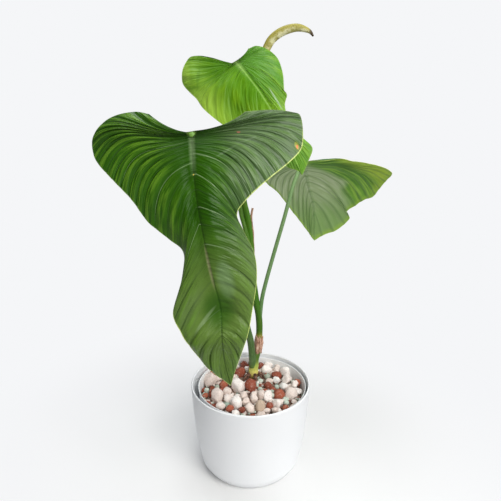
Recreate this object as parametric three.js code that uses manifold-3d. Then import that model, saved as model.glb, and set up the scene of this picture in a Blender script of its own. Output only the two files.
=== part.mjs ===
// A potted philodendron with three wide-lobed leaves, a young shoot and a white planter.
//
// Units are millimetres and +Z is up. The origin is the centre of the planter's flat foot.
// The plant faces -Y: the big front leaf hangs on that side, the back leaf leans to +X and +Y.
import * as THREE from 'three';
import { mergeVertices } from 'three/addons/utils/BufferGeometryUtils.js';
import Module from 'manifold-3d';

// Driving dimensions.
const PLANTER_HEIGHT = 116;
const PLANTER_RADIUS = 75;      // outside, at the lip
const PLANTER_WALL = 2.2;
const PLANTER_FLOOR = 3;
const LINER_HEIGHT = 112;       // its rim stands just below the planter's lip
const LINER_RADIUS = 68.3;      // outside, at the rim
const LINER_FOOT_RADIUS = 54;
const LINER_WALL = 1.3;
const LINER_SHIFT = 2;          // the liner leans against the planter's +X side
const SEAT_GAP = 0.3;           // between pieces that rest on or in each other
const SUBSTRATE_TOP = 99;       // between the stones, at the wall
const SUBSTRATE_MOUND = 4;      // how much higher the stones lie round the stem
const STONES = 72;
const STONE_SIZE = [5.6, 9.0];  // half lengths
const BLADE_THICKNESS = 1.0;
const ROUND_SEGMENTS = 40;

const wasm = await Module();
wasm.setup();

// A closed three.js geometry as a solid that can be cut and joined.
function toSolid(geometry) {
  const bare = geometry.clone();
  bare.deleteAttribute('normal');
  bare.deleteAttribute('uv');
  const merged = mergeVertices(bare, 1e-4);
  const corners = merged.index.array;
  const kept = [];
  for (let k = 0; k < corners.length; k += 3) {
    const [a, b, c] = [corners[k], corners[k + 1], corners[k + 2]];
    if (a !== b && b !== c && c !== a) kept.push(a, b, c);
  }
  return new wasm.Manifold(new wasm.Mesh({
    numProp: 3,
    vertProperties: Float32Array.from(merged.attributes.position.array),
    triVerts: Uint32Array.from(kept),
  }));
}

function toGeometry(solid) {
  const mesh = solid.getMesh();
  const geometry = new THREE.BufferGeometry();
  geometry.setAttribute('position', new THREE.BufferAttribute(Float32Array.from(mesh.vertProperties), 3));
  geometry.setIndex(Array.from(mesh.triVerts));
  return geometry;
}

// Cutting can leave loose crumbs: only the biggest body is the piece.
function biggestBody(solid) {
  const bodies = solid.decompose();
  return bodies.reduce((best, body) => (body.volume() > best.volume() ? body : best));
}

function closedGeometry(points, triangles) {
  const geometry = new THREE.BufferGeometry();
  geometry.setAttribute('position', new THREE.Float32BufferAttribute(points.flatMap((p) => [p.x, p.y, p.z]), 3));
  geometry.setIndex(triangles);
  return geometry;
}

// Small repeatable random numbers, for the stones.
function randomSource(seed) {
  let state = seed;
  return () => {
    state = (state * 1664525 + 1013904223) % 4294967296;
    return state / 4294967296;
  };
}

const mix = (a, b, share) => a + (b - a) * share;

function smooth(low, high, value) {
  const share = Math.min(Math.max((value - low) / (high - low), 0), 1);
  return share * share * (3 - 2 * share);
}

// A smooth curve through a list of rows of numbers; place 0 is the first row, 1 the second.
function through(rows, place) {
  const last = rows.length - 1;
  const index = Math.min(Math.max(Math.floor(place), 0), last - 1);
  const f = place - index;
  return rows[0].map((_, column) => {
    const at = (k) => {
      if (k < 0) return 2 * rows[0][column] - rows[1][column];
      if (k > last) return 2 * rows[last][column] - rows[last - 1][column];
      return rows[k][column];
    };
    const [p0, p1, p2, p3] = [at(index - 1), at(index), at(index + 1), at(index + 2)];
    return 0.5 * (2 * p1 + (p2 - p0) * f + (2 * p0 - 5 * p1 + 4 * p2 - p3) * f * f
      + (3 * p1 - p0 - 3 * p2 + p3) * f * f * f);
  });
}

// A round tube that follows points and changes radius, with flat ends.
// extra makes it that much fatter and longer: the shape of the hole that it leaves in a neighbour.
function stalk({ points, radii, sides, steps }, extra = 0) {
  const curve = new THREE.CatmullRomCurve3(points.map((p) => new THREE.Vector3(...p)), false, 'centripetal');
  const frames = curve.computeFrenetFrames(steps, false);
  const vertices = [];
  for (let i = 0; i <= steps; i += 1) {
    const share = i / steps;
    const centre = curve.getPointAt(share);
    if (i === 0) centre.addScaledVector(frames.tangents[0], -extra);
    if (i === steps) centre.addScaledVector(frames.tangents[steps], extra);
    const [radius] = through(radii.map((r) => [r]), share * (radii.length - 1));
    for (let k = 0; k < sides; k += 1) {
      const turn = (2 * Math.PI * k) / sides;
      vertices.push(centre.clone()
        .addScaledVector(frames.normals[i], (radius + extra) * Math.cos(turn))
        .addScaledVector(frames.binormals[i], (radius + extra) * Math.sin(turn)));
    }
  }
  const triangles = [];
  for (let i = 0; i < steps; i += 1) {
    for (let k = 0; k < sides; k += 1) {
      const next = (k + 1) % sides;
      const [a, b] = [i * sides + k, i * sides + next];
      const [c, d] = [a + sides, b + sides];
      triangles.push(a, b, d, a, d, c);
    }
  }
  const end = steps * sides;
  for (let k = 1; k < sides - 1; k += 1) {
    triangles.push(0, k + 1, k, end, end + k, end + k + 1);
  }
  return closedGeometry(vertices, triangles);
}

// Leaves.
//
// A leaf lies on a plane: t runs from the petiole to the tip, s to its own right side, seen from the
// upper face with the tip down. Each row is a pair of side veins: where they leave the midrib (t), and
// where they meet the edge on the left (s, t) and on the right (s, t), and how far the edge falls away
// behind the leaf there, on the left and on the right. The blade is quilted up between the veins.
const FRONT_LEAF = {
  base: [-55.1, -78, 427.1],
  tip: [-20, -112, 179.5],
  across: [1, 0, 0.16],
  arch: 24,
  droop: [12, 12],
  curl: [-10, 0.02],
  swells: [[-2, 196, 40, 13, 5], [4, 172, 30, 14, -5]],
  midrib: [[0], [-2], [-2.5], [-1], [1], [4], [2], [-1], [0]],
  sinus: [0.05, -0.1],
  quilt: 3.0,
  rows: [
    [-2.0, -38, -24.1, 52.2, -13.1, 2, 2],
    [-1.2, -53.5, -29.2, 77.6, -11.9, 4, 4],
    [-0.4, -76.1, -27.8, 97.3, -7.3, 4, 4],
    [0.4, -92.4, -17.5, 103.9, -2.8, 3, 2],
    [1.2, -99.5, -3.2, 104, 12, 2, 0],
    [2.2, -95.4, 12.9, 100, 28, 1, 0],
    [4, -83.2, 28.9, 87, 39, 1, 0],
    [7, -72.4, 42.1, 70, 49, 1, 0],
    [12, -62.6, 56.1, 54, 59, 3, 1],
    [22, -52.6, 75.6, 41, 69, 8, 3],
    [38, -36.4, 93.7, 32, 80, 12, 8],
    [60, -23.3, 108.9, 36, 97, 10, 14],
    [84, -28.9, 134.5, 43, 120, 5, 14],
    [110, -41.8, 164.2, 42, 143, 2, 8],
    [136, -38.4, 183.5, 35, 168, 2, 3],
    [163, -30.1, 203, 27, 193, 2, 2],
    [190, -20.4, 225.5, 17, 215, 2, 2],
    [218, -9.3, 241, 7, 236, 1, 1],
  ],
};

const UPPER_LEAF = {
  base: [-15.6, 15, 496],
  tip: [53, -45, 383.3],
  across: [1, 0, 0.4],
  arch: 14,
  droop: [20, 45],
  curl: [-24, 0.02],
  swells: [[-30, 24, 18, 16, 4], [24, 56, 16, 22, 2]],
  midrib: [[0], [3], [5], [5], [3], [0]],
  sinus: [0.6, 0.2],
  quilt: 1.6,
  rows: [
    [-1.5, -24.2, -24.6, 19.2, -8.1, 1, 1],
    [-0.9, -37.9, -39.2, 28.7, -6.7, 2, 2],
    [-0.3, -46.5, -37, 37.4, 1.7, 2, 3],
    [0.3, -57, -25, 40.7, 18.1, 2, 3],
    [1, -61.5, -12.8, 35.9, 40, 1, 4],
    [2, -56.5, 10.4, 27.3, 59.6, 1, 2],
    [4, -54.2, 30.6, 27.1, 65.9, 1, 2],
    [9, -43, 62, 19.7, 75, 2, 3],
    [20, -28, 80, 15, 94, 4, 4],
    [40, -18, 104, 19.6, 112.6, 4, 4],
    [64, -9.4, 129.2, 22.8, 125.9, 2, 3],
    [88, -3.6, 136.5, 12.3, 135.8, 1, 2],
    [114, 0.2, 140.3, 5.4, 141.1, 1, 1],
  ],
};

const BACK_LEAF = {
  base: [65.5, 85, 378],
  tip: [102.7, 210, 242.5],
  across: [-1, 0, 0],
  arch: 26,
  droop: [10, 16],
  curl: [2, 0.03],
  swells: [],
  midrib: [[0], [-3], [-3], [-6], [-5], [0]],
  sinus: [0.5, 0.5],
  quilt: 2.4,
  rows: [
    [-1.5, -44.7, -12.1, 30, -12, 0, 0],
    [-0.9, -69.3, 5.1, 48, -9, 0, 0],
    [-0.3, -98, 26, 62, 2, 0, 0],
    [0.4, -115.9, 47.4, 67, 18, 0, 0],
    [1.2, -110.6, 68.7, 57.8, 35.2, 0, 0],
    [3, -102.6, 90.7, 50.7, 58, 0, 0],
    [7, -93.7, 110.5, 43, 80, 0, 0],
    [14, -81.3, 117, 34, 112, 0, 0],
    [28, -67.3, 130.1, 25.6, 136.4, 0, 0],
    [48, -53.9, 141.5, 17.4, 154.1, 0, 0],
    [74, -58, 155.5, 10.5, 168.5, 0, 0],
    [104, -40, 172.5, 6.5, 177, 0, 0],
    [138, -15, 181.3, 4, 182.5, 0, 0],
  ],
};

const CELLS_PER_VEIN = 3;
const CELLS_ACROSS = 4;
const MIDRIB_HALF_WIDTH = [2.6, 0.8];   // at the petiole, at the tip
const MIDRIB_CHANNEL = [0.8, 0.1];
const MIDRIB_RIB = [2.6, 0.4];

function leafPlane(leaf) {
  const base = new THREE.Vector3(...leaf.base);
  const along = new THREE.Vector3(...leaf.tip).sub(base);
  const length = along.length();
  along.normalize();
  const across = new THREE.Vector3(...leaf.across);
  across.addScaledVector(along, -across.dot(along)).normalize();
  const up = new THREE.Vector3().crossVectors(along, across);
  return { base, along, across, up, length };
}

// How high the upper face stands over the leaf's plane.
function rise(leaf, length, s, t) {
  const x = Math.max(t, 0) / length;
  const [leftDroop, rightDroop] = leaf.droop;
  const [curlFrom, curlRate] = leaf.curl;
  let height = 4 * leaf.arch * x * (1 - x);
  height -= (s < 0 ? leftDroop : rightDroop) * (s / 100) ** 2;
  height -= curlRate * Math.max(curlFrom - t, 0) ** 2;
  for (const [s0, t0, reachS, reachT, swell] of leaf.swells) {
    height += swell * Math.exp(-(((s - s0) / reachS) ** 2) - ((t - t0) / reachT) ** 2);
  }
  return height;
}

// The upper face: one row of points for each station, from the left edge to the right edge.
function leafFace(leaf) {
  const { base, along, across, up, length } = leafPlane(leaf);
  const rows = [...leaf.rows, [length, 0, length, 0, length, 0, 0]];
  const stations = (rows.length - 1) * CELLS_PER_VEIN;
  const place = (s, t, height) => base.clone().addScaledVector(across, s)
    .addScaledVector(along, t).addScaledVector(up, rise(leaf, length, s, t) + height);
  const face = [];
  for (let i = 0; i < stations; i += 1) {
    const vein = i / CELLS_PER_VEIN;
    const [root, leftS, leftT, rightS, rightT, leftFall, rightFall] = through(rows, vein);
    const x = Math.max(root, 0) / length;
    const [middle] = through(leaf.midrib, x * (leaf.midrib.length - 1));
    const half = mix(...MIDRIB_HALF_WIDTH, x);
    const quilt = leaf.quilt * Math.sin(Math.PI * (vein % 1));
    const side = (sign, edgeS, edgeT, fall, sinus) => {
      const rootS = middle + sign * half;
      const spread = edgeT < root ? 0.9 : 0.25;
      const lead = mix(sinus, spread, smooth(0, 2, vein));
      const bend = [rootS + 0.6 * (edgeS - rootS), root + lead * (edgeT - root)];
      const points = [];
      for (let j = 0; j <= CELLS_ACROSS; j += 1) {
        const w = j / CELLS_ACROSS;
        const s = (1 - w) ** 2 * rootS + 2 * w * (1 - w) * bend[0] + w * w * edgeS;
        const t = (1 - w) ** 2 * root + 2 * w * (1 - w) * bend[1] + w * w * edgeT;
        const window = smooth(0, 0.4, w) * (1 - 0.6 * smooth(0.8, 1, w));
        points.push(place(s, t, quilt * window - fall * w ** 3));
      }
      return points;
    };
    const left = side(-1, leftS, leftT, leftFall, leaf.sinus[0]);
    const right = side(1, rightS, rightT, rightFall, leaf.sinus[1]);
    const centre = place(middle, root, -mix(...MIDRIB_CHANNEL, x));
    face.push([...left.reverse(), centre, ...right]);
  }
  return { face, tip: place(0, length, 0), length };
}

// The blade as a closed solid: the upper face, the same face moved down along its normals, and a rim.
function blade(leaf) {
  const { face, tip } = leafFace(leaf);
  const stations = face.length;
  const width = face[0].length;
  const middle = (width - 1) / 2;
  const normalAt = (i, j) => {
    const next = i + 1 < stations ? face[i + 1][j] : tip;
    const alongEdge = next.clone().sub(face[Math.max(i - 1, 0)][j]);
    const acrossEdge = face[i][Math.min(j + 1, width - 1)].clone().sub(face[i][Math.max(j - 1, 0)]);
    return alongEdge.cross(acrossEdge).normalize();
  };
  const upper = [];
  const lower = [];
  face.forEach((row, i) => row.forEach((point, j) => {
    const rib = j === middle ? mix(...MIDRIB_RIB, i / stations) : 0;
    upper.push(point);
    lower.push(point.clone().addScaledVector(normalAt(i, j), -(BLADE_THICKNESS + rib)));
  }));
  upper.push(tip);
  lower.push(tip.clone().addScaledVector(normalAt(stations - 1, middle), -BLADE_THICKNESS));
  const count = upper.length;
  const top = (i, j) => (i === stations ? count - 1 : i * width + j);
  const under = (i, j) => top(i, j) + count;
  const triangles = [];
  const both = (a, b, c) => triangles.push(a, b, c, c + count, b + count, a + count);
  for (let i = 0; i < stations - 1; i += 1) {
    for (let j = 0; j < width - 1; j += 1) {
      both(top(i, j), top(i + 1, j), top(i + 1, j + 1));
      both(top(i, j), top(i + 1, j + 1), top(i, j + 1));
    }
  }
  for (let j = 0; j < width - 1; j += 1) both(top(stations - 1, j), top(stations, j), top(stations - 1, j + 1));
  const rim = (a, b, c, d) => triangles.push(a, b, c, a, c, d);
  for (let i = 0; i < stations; i += 1) {
    const edge = width - 1;
    rim(top(i + 1, 0), top(i, 0), under(i, 0), under(i + 1, 0));
    rim(top(i, edge), top(i + 1, edge), under(i + 1, edge), under(i, edge));
  }
  for (let j = 0; j < width - 1; j += 1) rim(top(0, j), top(0, j + 1), under(0, j + 1), under(0, j));
  return closedGeometry([...upper, ...lower], triangles);
}

// Stem, petioles and shoot: the points that each follows, and its radii along the way.
const STEM = {
  points: [[3.2, 34, 74], [3.8, 34, 104], [4.3, 34, 115], [6.5, 35, 127], [9.6, 36.5, 138],
    [10.9, 37, 149], [11.5, 37.5, 162.5]],
  radii: [5.6, 6.4, 6.8, 5.8, 4.3, 4.1, 4.3],
  sides: 12,
  steps: 14,
};
const ROOTS = [
  { points: [[2, 33, 107], [-5, 28, 106], [-10, 24, 96]], radii: [2.6, 2.0, 1.4], sides: 6, steps: 5 },
  { points: [[5, 31, 108], [7, 24, 106], [9, 19, 96]], radii: [2.4, 2.0, 1.4], sides: 6, steps: 5 },
  { points: [[7, 34, 108], [15, 32, 106], [20, 30, 96]], radii: [2.4, 1.8, 1.3], sides: 6, steps: 5 },
];
const FRONT_PETIOLE = {
  points: [[3, 32, 119], [1.8, 30, 140], [0, 27, 158], [-3.7, 24.5, 175], [-13, 17, 220],
    [-23, 3, 283], [-32.6, -16, 343], [-45.3, -45, 394], [-55, -78.6, 427.4]],
  radii: [4.6, 4.5, 4.4, 4.1, 3.8, 3.5, 3.2, 3.0, 2.8],
  sides: 10,
  steps: 24,
};
const SHOOT = {
  points: [[11.5, 37.5, 162.8], [11.5, 38, 177], [9.9, 38.5, 194], [6.6, 39, 210], [2.9, 39, 238],
    [0.3, 39, 277], [-1.1, 39, 296], [-4.1, 39, 320], [-8.7, 38.5, 342], [-10.1, 38, 378],
    [-6.3, 35, 435], [3.9, 32, 479], [17.8, 30.5, 512], [22.6, 30, 520], [30, 29, 526], [38.7, 28, 530],
    [49.8, 27, 532], [57.8, 26, 530.5], [64.2, 25, 527.5], [67.6, 24, 523]],
  radii: [4.3, 4.3, 4.3, 4.5, 4.7, 4.5, 4.4, 4.4, 4.4, 4.35, 4.3, 4.15, 4.0, 3.8, 3.6,
    3.35, 3.1, 2.95, 2.8, 2.9, 3.0, 3.3, 3.8, 4.1, 4.4, 4.6, 4.4, 3.4, 0.9],
  sides: 9,
  steps: 40,
};
const UPPER_PETIOLE = {
  points: [[1.9, 36.5, 250], [-1.1, 34.5, 279], [-4.1, 34, 297], [-8.7, 35, 314], [-11.6, 35, 326],
    [-15.4, 33, 367], [-18.5, 31, 413], [-19.2, 30, 457], [-17.1, 24, 483], [-15.7, 18.5, 493.5]],
  radii: [2.6, 2.6, 2.5, 2.4, 2.3],
  sides: 9,
  steps: 22,
};
const BACK_PETIOLE = {
  points: [[12, 37.5, 183], [12.9, 38, 195], [15.1, 40, 213], [20.2, 43, 235], [31.8, 50, 277],
    [42.9, 58, 315], [54.5, 70, 355], [63, 82.5, 374.5]],
  radii: [2.8, 2.6, 2.5, 2.5, 2.5, 2.4],
  sides: 9,
  steps: 18,
};

// The dried bract that once wrapped the shoot: a papery sleeve on the stem and a strip up its back.
const DRIED_SLEEVE = {
  points: [[9.7, 36.5, 137], [11, 37, 149], [11.5, 37.5, 160]],
  radii: [5.4, 6.2, 5.4],
  sides: 12,
  steps: 4,
};
const DRIED_STRIP = {
  points: [[11.5, 42.6, 154], [8.5, 44.2, 202], [5.1, 44.8, 250], [3.9, 44.8, 275], [2.6, 44.8, 303],
    [0.9, 44.6, 317], [2.7, 46, 330]],
  radii: [1.3, 1.2, 1.2],
  sides: 6,
  steps: 14,
};

function stemSolid(extra = 0) {
  return ROOTS.reduce((solid, root) => solid.add(toSolid(stalk(root, extra))), toSolid(stalk(STEM, extra)));
}

function stalkSolid(shape, neighbours = []) {
  return neighbours.reduce((solid, other) => solid.subtract(other), toSolid(stalk(shape)));
}

const hole = (shape) => toSolid(stalk(shape, SEAT_GAP));

// Holder and filling, turned round Z.
function turned(outline, segments = ROUND_SEGMENTS) {
  const profile = outline.map(([r, z]) => new THREE.Vector2(r, z));
  return new THREE.LatheGeometry(profile, segments).rotateX(Math.PI / 2);
}

// The wall swells a little between foot and lip, as a moulded planter's does.
function planterOutside(z) {
  const share = z / PLANTER_HEIGHT;
  return mix(61, PLANTER_RADIUS, share) + 3.2 * Math.sin(Math.PI * share ** 0.8);
}

function planter() {
  const outside = [];
  const inside = [];
  for (const z of [14, 30, 50, 72, 94, PLANTER_HEIGHT - 1.2]) {
    outside.push([planterOutside(z), z]);
    inside.push([planterOutside(z) - PLANTER_WALL, z]);
  }
  const foot = [[0, 0], [51, 0], [56, 1.2], [59.4, 4.2], [61.4, 8.4]];
  const lip = [[PLANTER_RADIUS - 0.7, PLANTER_HEIGHT], [PLANTER_RADIUS - PLANTER_WALL + 0.6, PLANTER_HEIGHT]];
  const well = [[58.2, 7], [54.6, 4], [50, PLANTER_FLOOR], [0, PLANTER_FLOOR]];
  return turned([...foot, ...outside, ...lip, ...inside.reverse(), ...well]);
}

function linerOutside(z) {
  return mix(LINER_FOOT_RADIUS, LINER_RADIUS, ((z - PLANTER_FLOOR) / (LINER_HEIGHT - PLANTER_FLOOR)) ** 0.8);
}

function liner() {
  const seat = PLANTER_FLOOR + SEAT_GAP;
  const heights = [20, 45, 75, LINER_HEIGHT - 0.6];
  const outside = heights.map((z) => [linerOutside(z), z]);
  const inside = heights.map((z) => [linerOutside(z) - LINER_WALL, z]).reverse();
  const foot = [[0, seat], [48, seat], [52, seat + 2.2], [54.2, seat + 5.6]];
  const well = [[52.6, seat + 5.8], [50.6, seat + 3], [47.4, seat + LINER_WALL], [0, seat + LINER_WALL]];
  const rim = [[LINER_RADIUS - 0.5, LINER_HEIGHT], [LINER_RADIUS - LINER_WALL + 0.3, LINER_HEIGHT]];
  return turned([...foot, ...outside, ...rim, ...inside, ...well]).translate(LINER_SHIFT, 0, 0);
}

function groundHeight(x, y) {
  const reach = Math.hypot(x - STEM.points[1][0], y - STEM.points[1][1]) / 34;
  return SUBSTRATE_TOP + SUBSTRATE_MOUND * Math.exp(-reach * reach);
}

// Stones lie in a spiral that fills the liner evenly, with sizes and turns that vary.
function stones() {
  const random = randomSource(20);
  const reach = LINER_RADIUS - LINER_WALL - 1;
  const list = [];
  for (let k = 0; k < STONES; k += 1) {
    const size = mix(...STONE_SIZE, random());
    const squash = [1, mix(0.72, 0.95, random()), mix(0.6, 0.8, random())];
    const turn = new THREE.Euler(mix(-0.4, 0.4, random()), mix(-0.4, 0.4, random()), 2 * Math.PI * random());
    const distance = (reach - size) * Math.sqrt((k + 0.5) / STONES);
    const angle = k * Math.PI * (3 - Math.sqrt(5));
    const [x, y] = [LINER_SHIFT + distance * Math.cos(angle), distance * Math.sin(angle)];
    const z = groundHeight(x, y) + mix(-1, 2, random());
    const stone = new THREE.IcosahedronGeometry(size, 0).scale(...squash);
    stone.applyMatrix4(new THREE.Matrix4().makeRotationFromEuler(turn)).translate(x, y, z);
    list.push(stone);
  }
  return list;
}

function substrate(holes) {
  const gap = LINER_WALL + SEAT_GAP;
  const floor = PLANTER_FLOOR + SEAT_GAP + LINER_WALL + SEAT_GAP;
  const side = [20, 45, 75, SUBSTRATE_TOP].map((z) => [linerOutside(z) - gap, z]);
  const outline = [[0, floor], [46.8, floor], [50, floor + 2], [52, floor + 5], ...side, [0, SUBSTRATE_TOP]];
  const fill = toSolid(turned(outline).translate(LINER_SHIFT, 0, 0));
  const heaped = stones().reduce((solid, stone) => solid.add(toSolid(stone)), fill);
  return toGeometry(biggestBody(holes.reduce((solid, cut) => solid.subtract(cut), heaped)));
}

// Assembly.
const plant = new THREE.Group();

function addPiece(name, geometry, color, roughness) {
  const mesh = new THREE.Mesh(geometry, new THREE.MeshStandardMaterial({ color, roughness, metalness: 0 }));
  mesh.name = name;
  plant.add(mesh);
}

const stemHole = stemSolid(SEAT_GAP);
const shootHole = hole(SHOOT);
const sleeveHole = hole(DRIED_SLEEVE).add(hole(DRIED_STRIP));
const frontPetioleHole = hole(FRONT_PETIOLE);
const upperPetioleHole = hole(UPPER_PETIOLE);
const backPetioleHole = hole(BACK_PETIOLE);

addPiece('outer_planter', planter(), 0xf4f4f2, 0.45);
addPiece('inner_liner', liner(), 0xc9cdd0, 0.4);
addPiece('substrate', substrate([stemHole]), 0xc9b5a6, 0.9);

const frontPetiole = stalkSolid(FRONT_PETIOLE, [stemHole, sleeveHole]);
const upperPetiole = stalkSolid(UPPER_PETIOLE, [stemHole, sleeveHole, shootHole]);
const driedBract = toSolid(stalk(DRIED_SLEEVE)).add(toSolid(stalk(DRIED_STRIP)))
  .subtract(stemHole).subtract(shootHole);
const backPetiole = stalkSolid(BACK_PETIOLE, [stemHole, sleeveHole, shootHole, upperPetioleHole]);
addPiece('stem', toGeometry(stemSolid()), 0x6e5a3c, 0.8);
addPiece('petiole_front', toGeometry(biggestBody(frontPetiole)), 0x6f8f52, 0.5);
addPiece('petiole_upper', toGeometry(biggestBody(upperPetiole)), 0x5f8a3c, 0.5);
addPiece('petiole_back', toGeometry(biggestBody(backPetiole)), 0x56784c, 0.5);
addPiece('young_shoot', stalk(SHOOT), 0x93963a, 0.5);
addPiece('dried_bract', toGeometry(biggestBody(driedBract)), 0x9a6c58, 0.85);

function leaf(name, shape, petioleHole, color) {
  addPiece(name, toGeometry(biggestBody(toSolid(blade(shape)).subtract(petioleHole))), color, 0.35);
}

leaf('leaf_front', FRONT_LEAF, frontPetioleHole, 0x2f6425);
leaf('leaf_upper', UPPER_LEAF, upperPetioleHole, 0x57962e);
leaf('leaf_back', BACK_LEAF, backPetioleHole, 0x567a38);

export default plant;
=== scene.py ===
import math
import random
from functools import partial

import bpy
import numpy as np
from mathutils import Euler, Matrix, Vector, noise


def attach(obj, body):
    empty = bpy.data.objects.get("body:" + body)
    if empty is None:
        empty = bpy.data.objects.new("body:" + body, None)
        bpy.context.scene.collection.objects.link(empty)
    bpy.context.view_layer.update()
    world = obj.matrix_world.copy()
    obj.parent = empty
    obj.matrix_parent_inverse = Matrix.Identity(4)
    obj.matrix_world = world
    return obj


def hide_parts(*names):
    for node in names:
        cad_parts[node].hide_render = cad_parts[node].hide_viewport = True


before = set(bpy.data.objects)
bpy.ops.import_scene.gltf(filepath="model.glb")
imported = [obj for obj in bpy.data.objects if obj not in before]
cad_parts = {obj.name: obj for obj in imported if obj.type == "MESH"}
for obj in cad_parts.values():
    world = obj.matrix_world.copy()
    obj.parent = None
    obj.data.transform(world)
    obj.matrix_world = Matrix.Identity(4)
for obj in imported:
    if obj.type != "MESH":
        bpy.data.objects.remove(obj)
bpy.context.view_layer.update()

MM = 0.001
WELD_DISTANCE = 0.01 * MM
STEPS_A_SPAN = 24                # places that follow works out between two points of a path

# Camera: the height, distance and pitch that put the planter's rim where the photograph has it.
CAMERA_PLACE = (0.0, -0.545, 0.455)
CAMERA_PITCH = math.radians(90 - 16.93)
CAMERA_LENS = 35.0
CAMERA_SENSOR = 36.0


def mix(low, high, share):
    return low + (high - low) * share


def smooth(low, high, value):
    share = min(max((value - low) / (high - low), 0), 1)
    return share * share * (3 - 2 * share)


def through(rows, place):
    """A smooth curve through rows of numbers; place 0 is the first row, 1 the second."""
    last = len(rows) - 1
    index = min(max(int(math.floor(place)), 0), last - 1)
    f = place - index
    p1, p2 = rows[index], rows[index + 1]
    p0 = rows[index - 1] if index > 0 else 2 * rows[0] - rows[1]
    p3 = rows[index + 2] if index + 2 <= last else 2 * rows[last] - rows[last - 1]
    return 0.5 * (2 * p1 + (p2 - p0) * f + (2 * p0 - 5 * p1 + 4 * p2 - p3) * f ** 2
                  + (3 * p1 - p0 - 3 * p2 + p3) * f ** 3)


def follow(points, count):
    """Evenly spaced places on a smooth curve through points, in millimetres."""
    points = [Vector(point) for point in points]
    points = [2 * points[0] - points[1], *points, 2 * points[-1] - points[-2]]
    track = []
    for k in range(1, len(points) - 2):
        p0, p1, p2, p3 = points[k - 1:k + 3]
        k1 = (p1 - p0).length ** 0.5
        k2 = k1 + (p2 - p1).length ** 0.5
        k3 = k2 + (p3 - p2).length ** 0.5
        for step in range(STEPS_A_SPAN):
            t = mix(k1, k2, step / STEPS_A_SPAN)
            a1 = p0.lerp(p1, t / k1)
            a2 = p1.lerp(p2, (t - k1) / (k2 - k1))
            a3 = p2.lerp(p3, (t - k2) / (k3 - k2))
            b1 = a1.lerp(a2, t / k2)
            b2 = a2.lerp(a3, (t - k1) / (k3 - k1))
            track.append(list(b1.lerp(b2, (t - k1) / (k2 - k1))))
    track = np.array([*track, list(points[-2])])
    reached = np.concatenate([[0], np.cumsum(np.linalg.norm(np.diff(track, axis=0), axis=1))])
    wanted = np.linspace(0, reached[-1], count)
    return np.stack([np.interp(wanted, reached, track[:, axis]) for axis in range(3)], axis=1)


def uneven(place, size, seed):
    """Smooth unevenness from -1 to 1 whose lumps are about size across, in place's own unit."""
    x, y, z = place
    return noise.noise(Vector((x / size + seed * 7.3, y / size, z / size)))


# Blender helpers.
def only(piece):
    bpy.ops.object.select_all(action="DESELECT")
    piece.select_set(True)
    bpy.context.view_layer.objects.active = piece


def edit(piece):
    """Opens a piece in edit mode with everything selected."""
    only(piece)
    bpy.ops.object.mode_set(mode="EDIT")
    bpy.ops.mesh.select_all(action="SELECT")


def close_edit():
    bpy.ops.object.mode_set(mode="OBJECT")


def apply_modifier(piece, kind, **settings):
    only(piece)
    modifier = piece.modifiers.new(kind.title(), kind)
    for name, value in settings.items():
        setattr(modifier, name, value)
    bpy.ops.object.modifier_apply(modifier=modifier.name)


def sheet(name, points, **layers):
    """A grid primitive with each corner moved to points[column, row], in millimetres.

    Layers are one number a corner, in the same order, which stay on the mesh for its material.
    """
    columns, rows = points.shape[0] - 1, points.shape[1] - 1
    bpy.ops.object.select_all(action="DESELECT")
    bpy.ops.mesh.primitive_grid_add(x_subdivisions=columns, y_subdivisions=rows, size=1)
    piece = bpy.context.object
    piece.name = name
    piece.data.uv_layers[0].name = "growth"
    flat = np.empty(len(piece.data.vertices) * 3)
    piece.data.vertices.foreach_get("co", flat)
    flat = flat.reshape(-1, 3)
    column = np.rint((flat[:, 0] + 0.5) * columns).astype(int)
    row = np.rint((flat[:, 1] + 0.5) * rows).astype(int)
    piece.data.vertices.foreach_set("co", (points[column, row] * MM).ravel())
    for label, values in layers.items():
        layer = piece.data.attributes.new(name=label, type="FLOAT", domain="POINT")
        values = np.broadcast_to(values, points.shape[:2])[column, row]
        layer.data.foreach_set("value", values.astype(np.float32))
    piece.data.update()
    return piece


def weld(piece, outward=True):
    edit(piece)
    bpy.ops.mesh.remove_doubles(threshold=WELD_DISTANCE)
    if outward:
        bpy.ops.mesh.normals_make_consistent(inside=False)
    close_edit()


def dress(piece, nodes, materials, crease=None):
    """Gives a finished piece its materials, hangs it on the root body and hides the CAD parts that it
    stands for.

    It is smooth all over, or only where its faces meet at less than crease degrees.
    """
    for material in materials:
        piece.data.materials.append(material)
    only(piece)
    if crease is None:
        bpy.ops.object.shade_smooth()
    else:
        bpy.ops.object.shade_smooth_by_angle(angle=math.radians(crease))
    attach(piece, "root")
    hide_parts(*nodes)


# Material helpers.
BLEND = {"out": 2, "data_type": "RGBA"}          # Mix: colour 7 lies over colour 6, as strongly as 0
SOFT = {"interpolation_type": "SMOOTHSTEP"}      # Map Range: a soft step
TIMES = {"operation": "MULTIPLY"}
PLUS = {"operation": "ADD"}


def colour(code):
    """An sRGB hex colour as the linear red, green, blue and alpha that Blender works in."""
    parts = [int(code[k:k + 2], 16) / 255 for k in (1, 3, 5)]
    return tuple(p / 12.92 if p <= 0.04045 else ((p + 0.055) / 1.055) ** 2.4 for p in parts) + (1.0,)


def per(size_mm):
    """The scale of a pattern whose lumps are size_mm across."""
    return 1 / (size_mm * MM)


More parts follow.
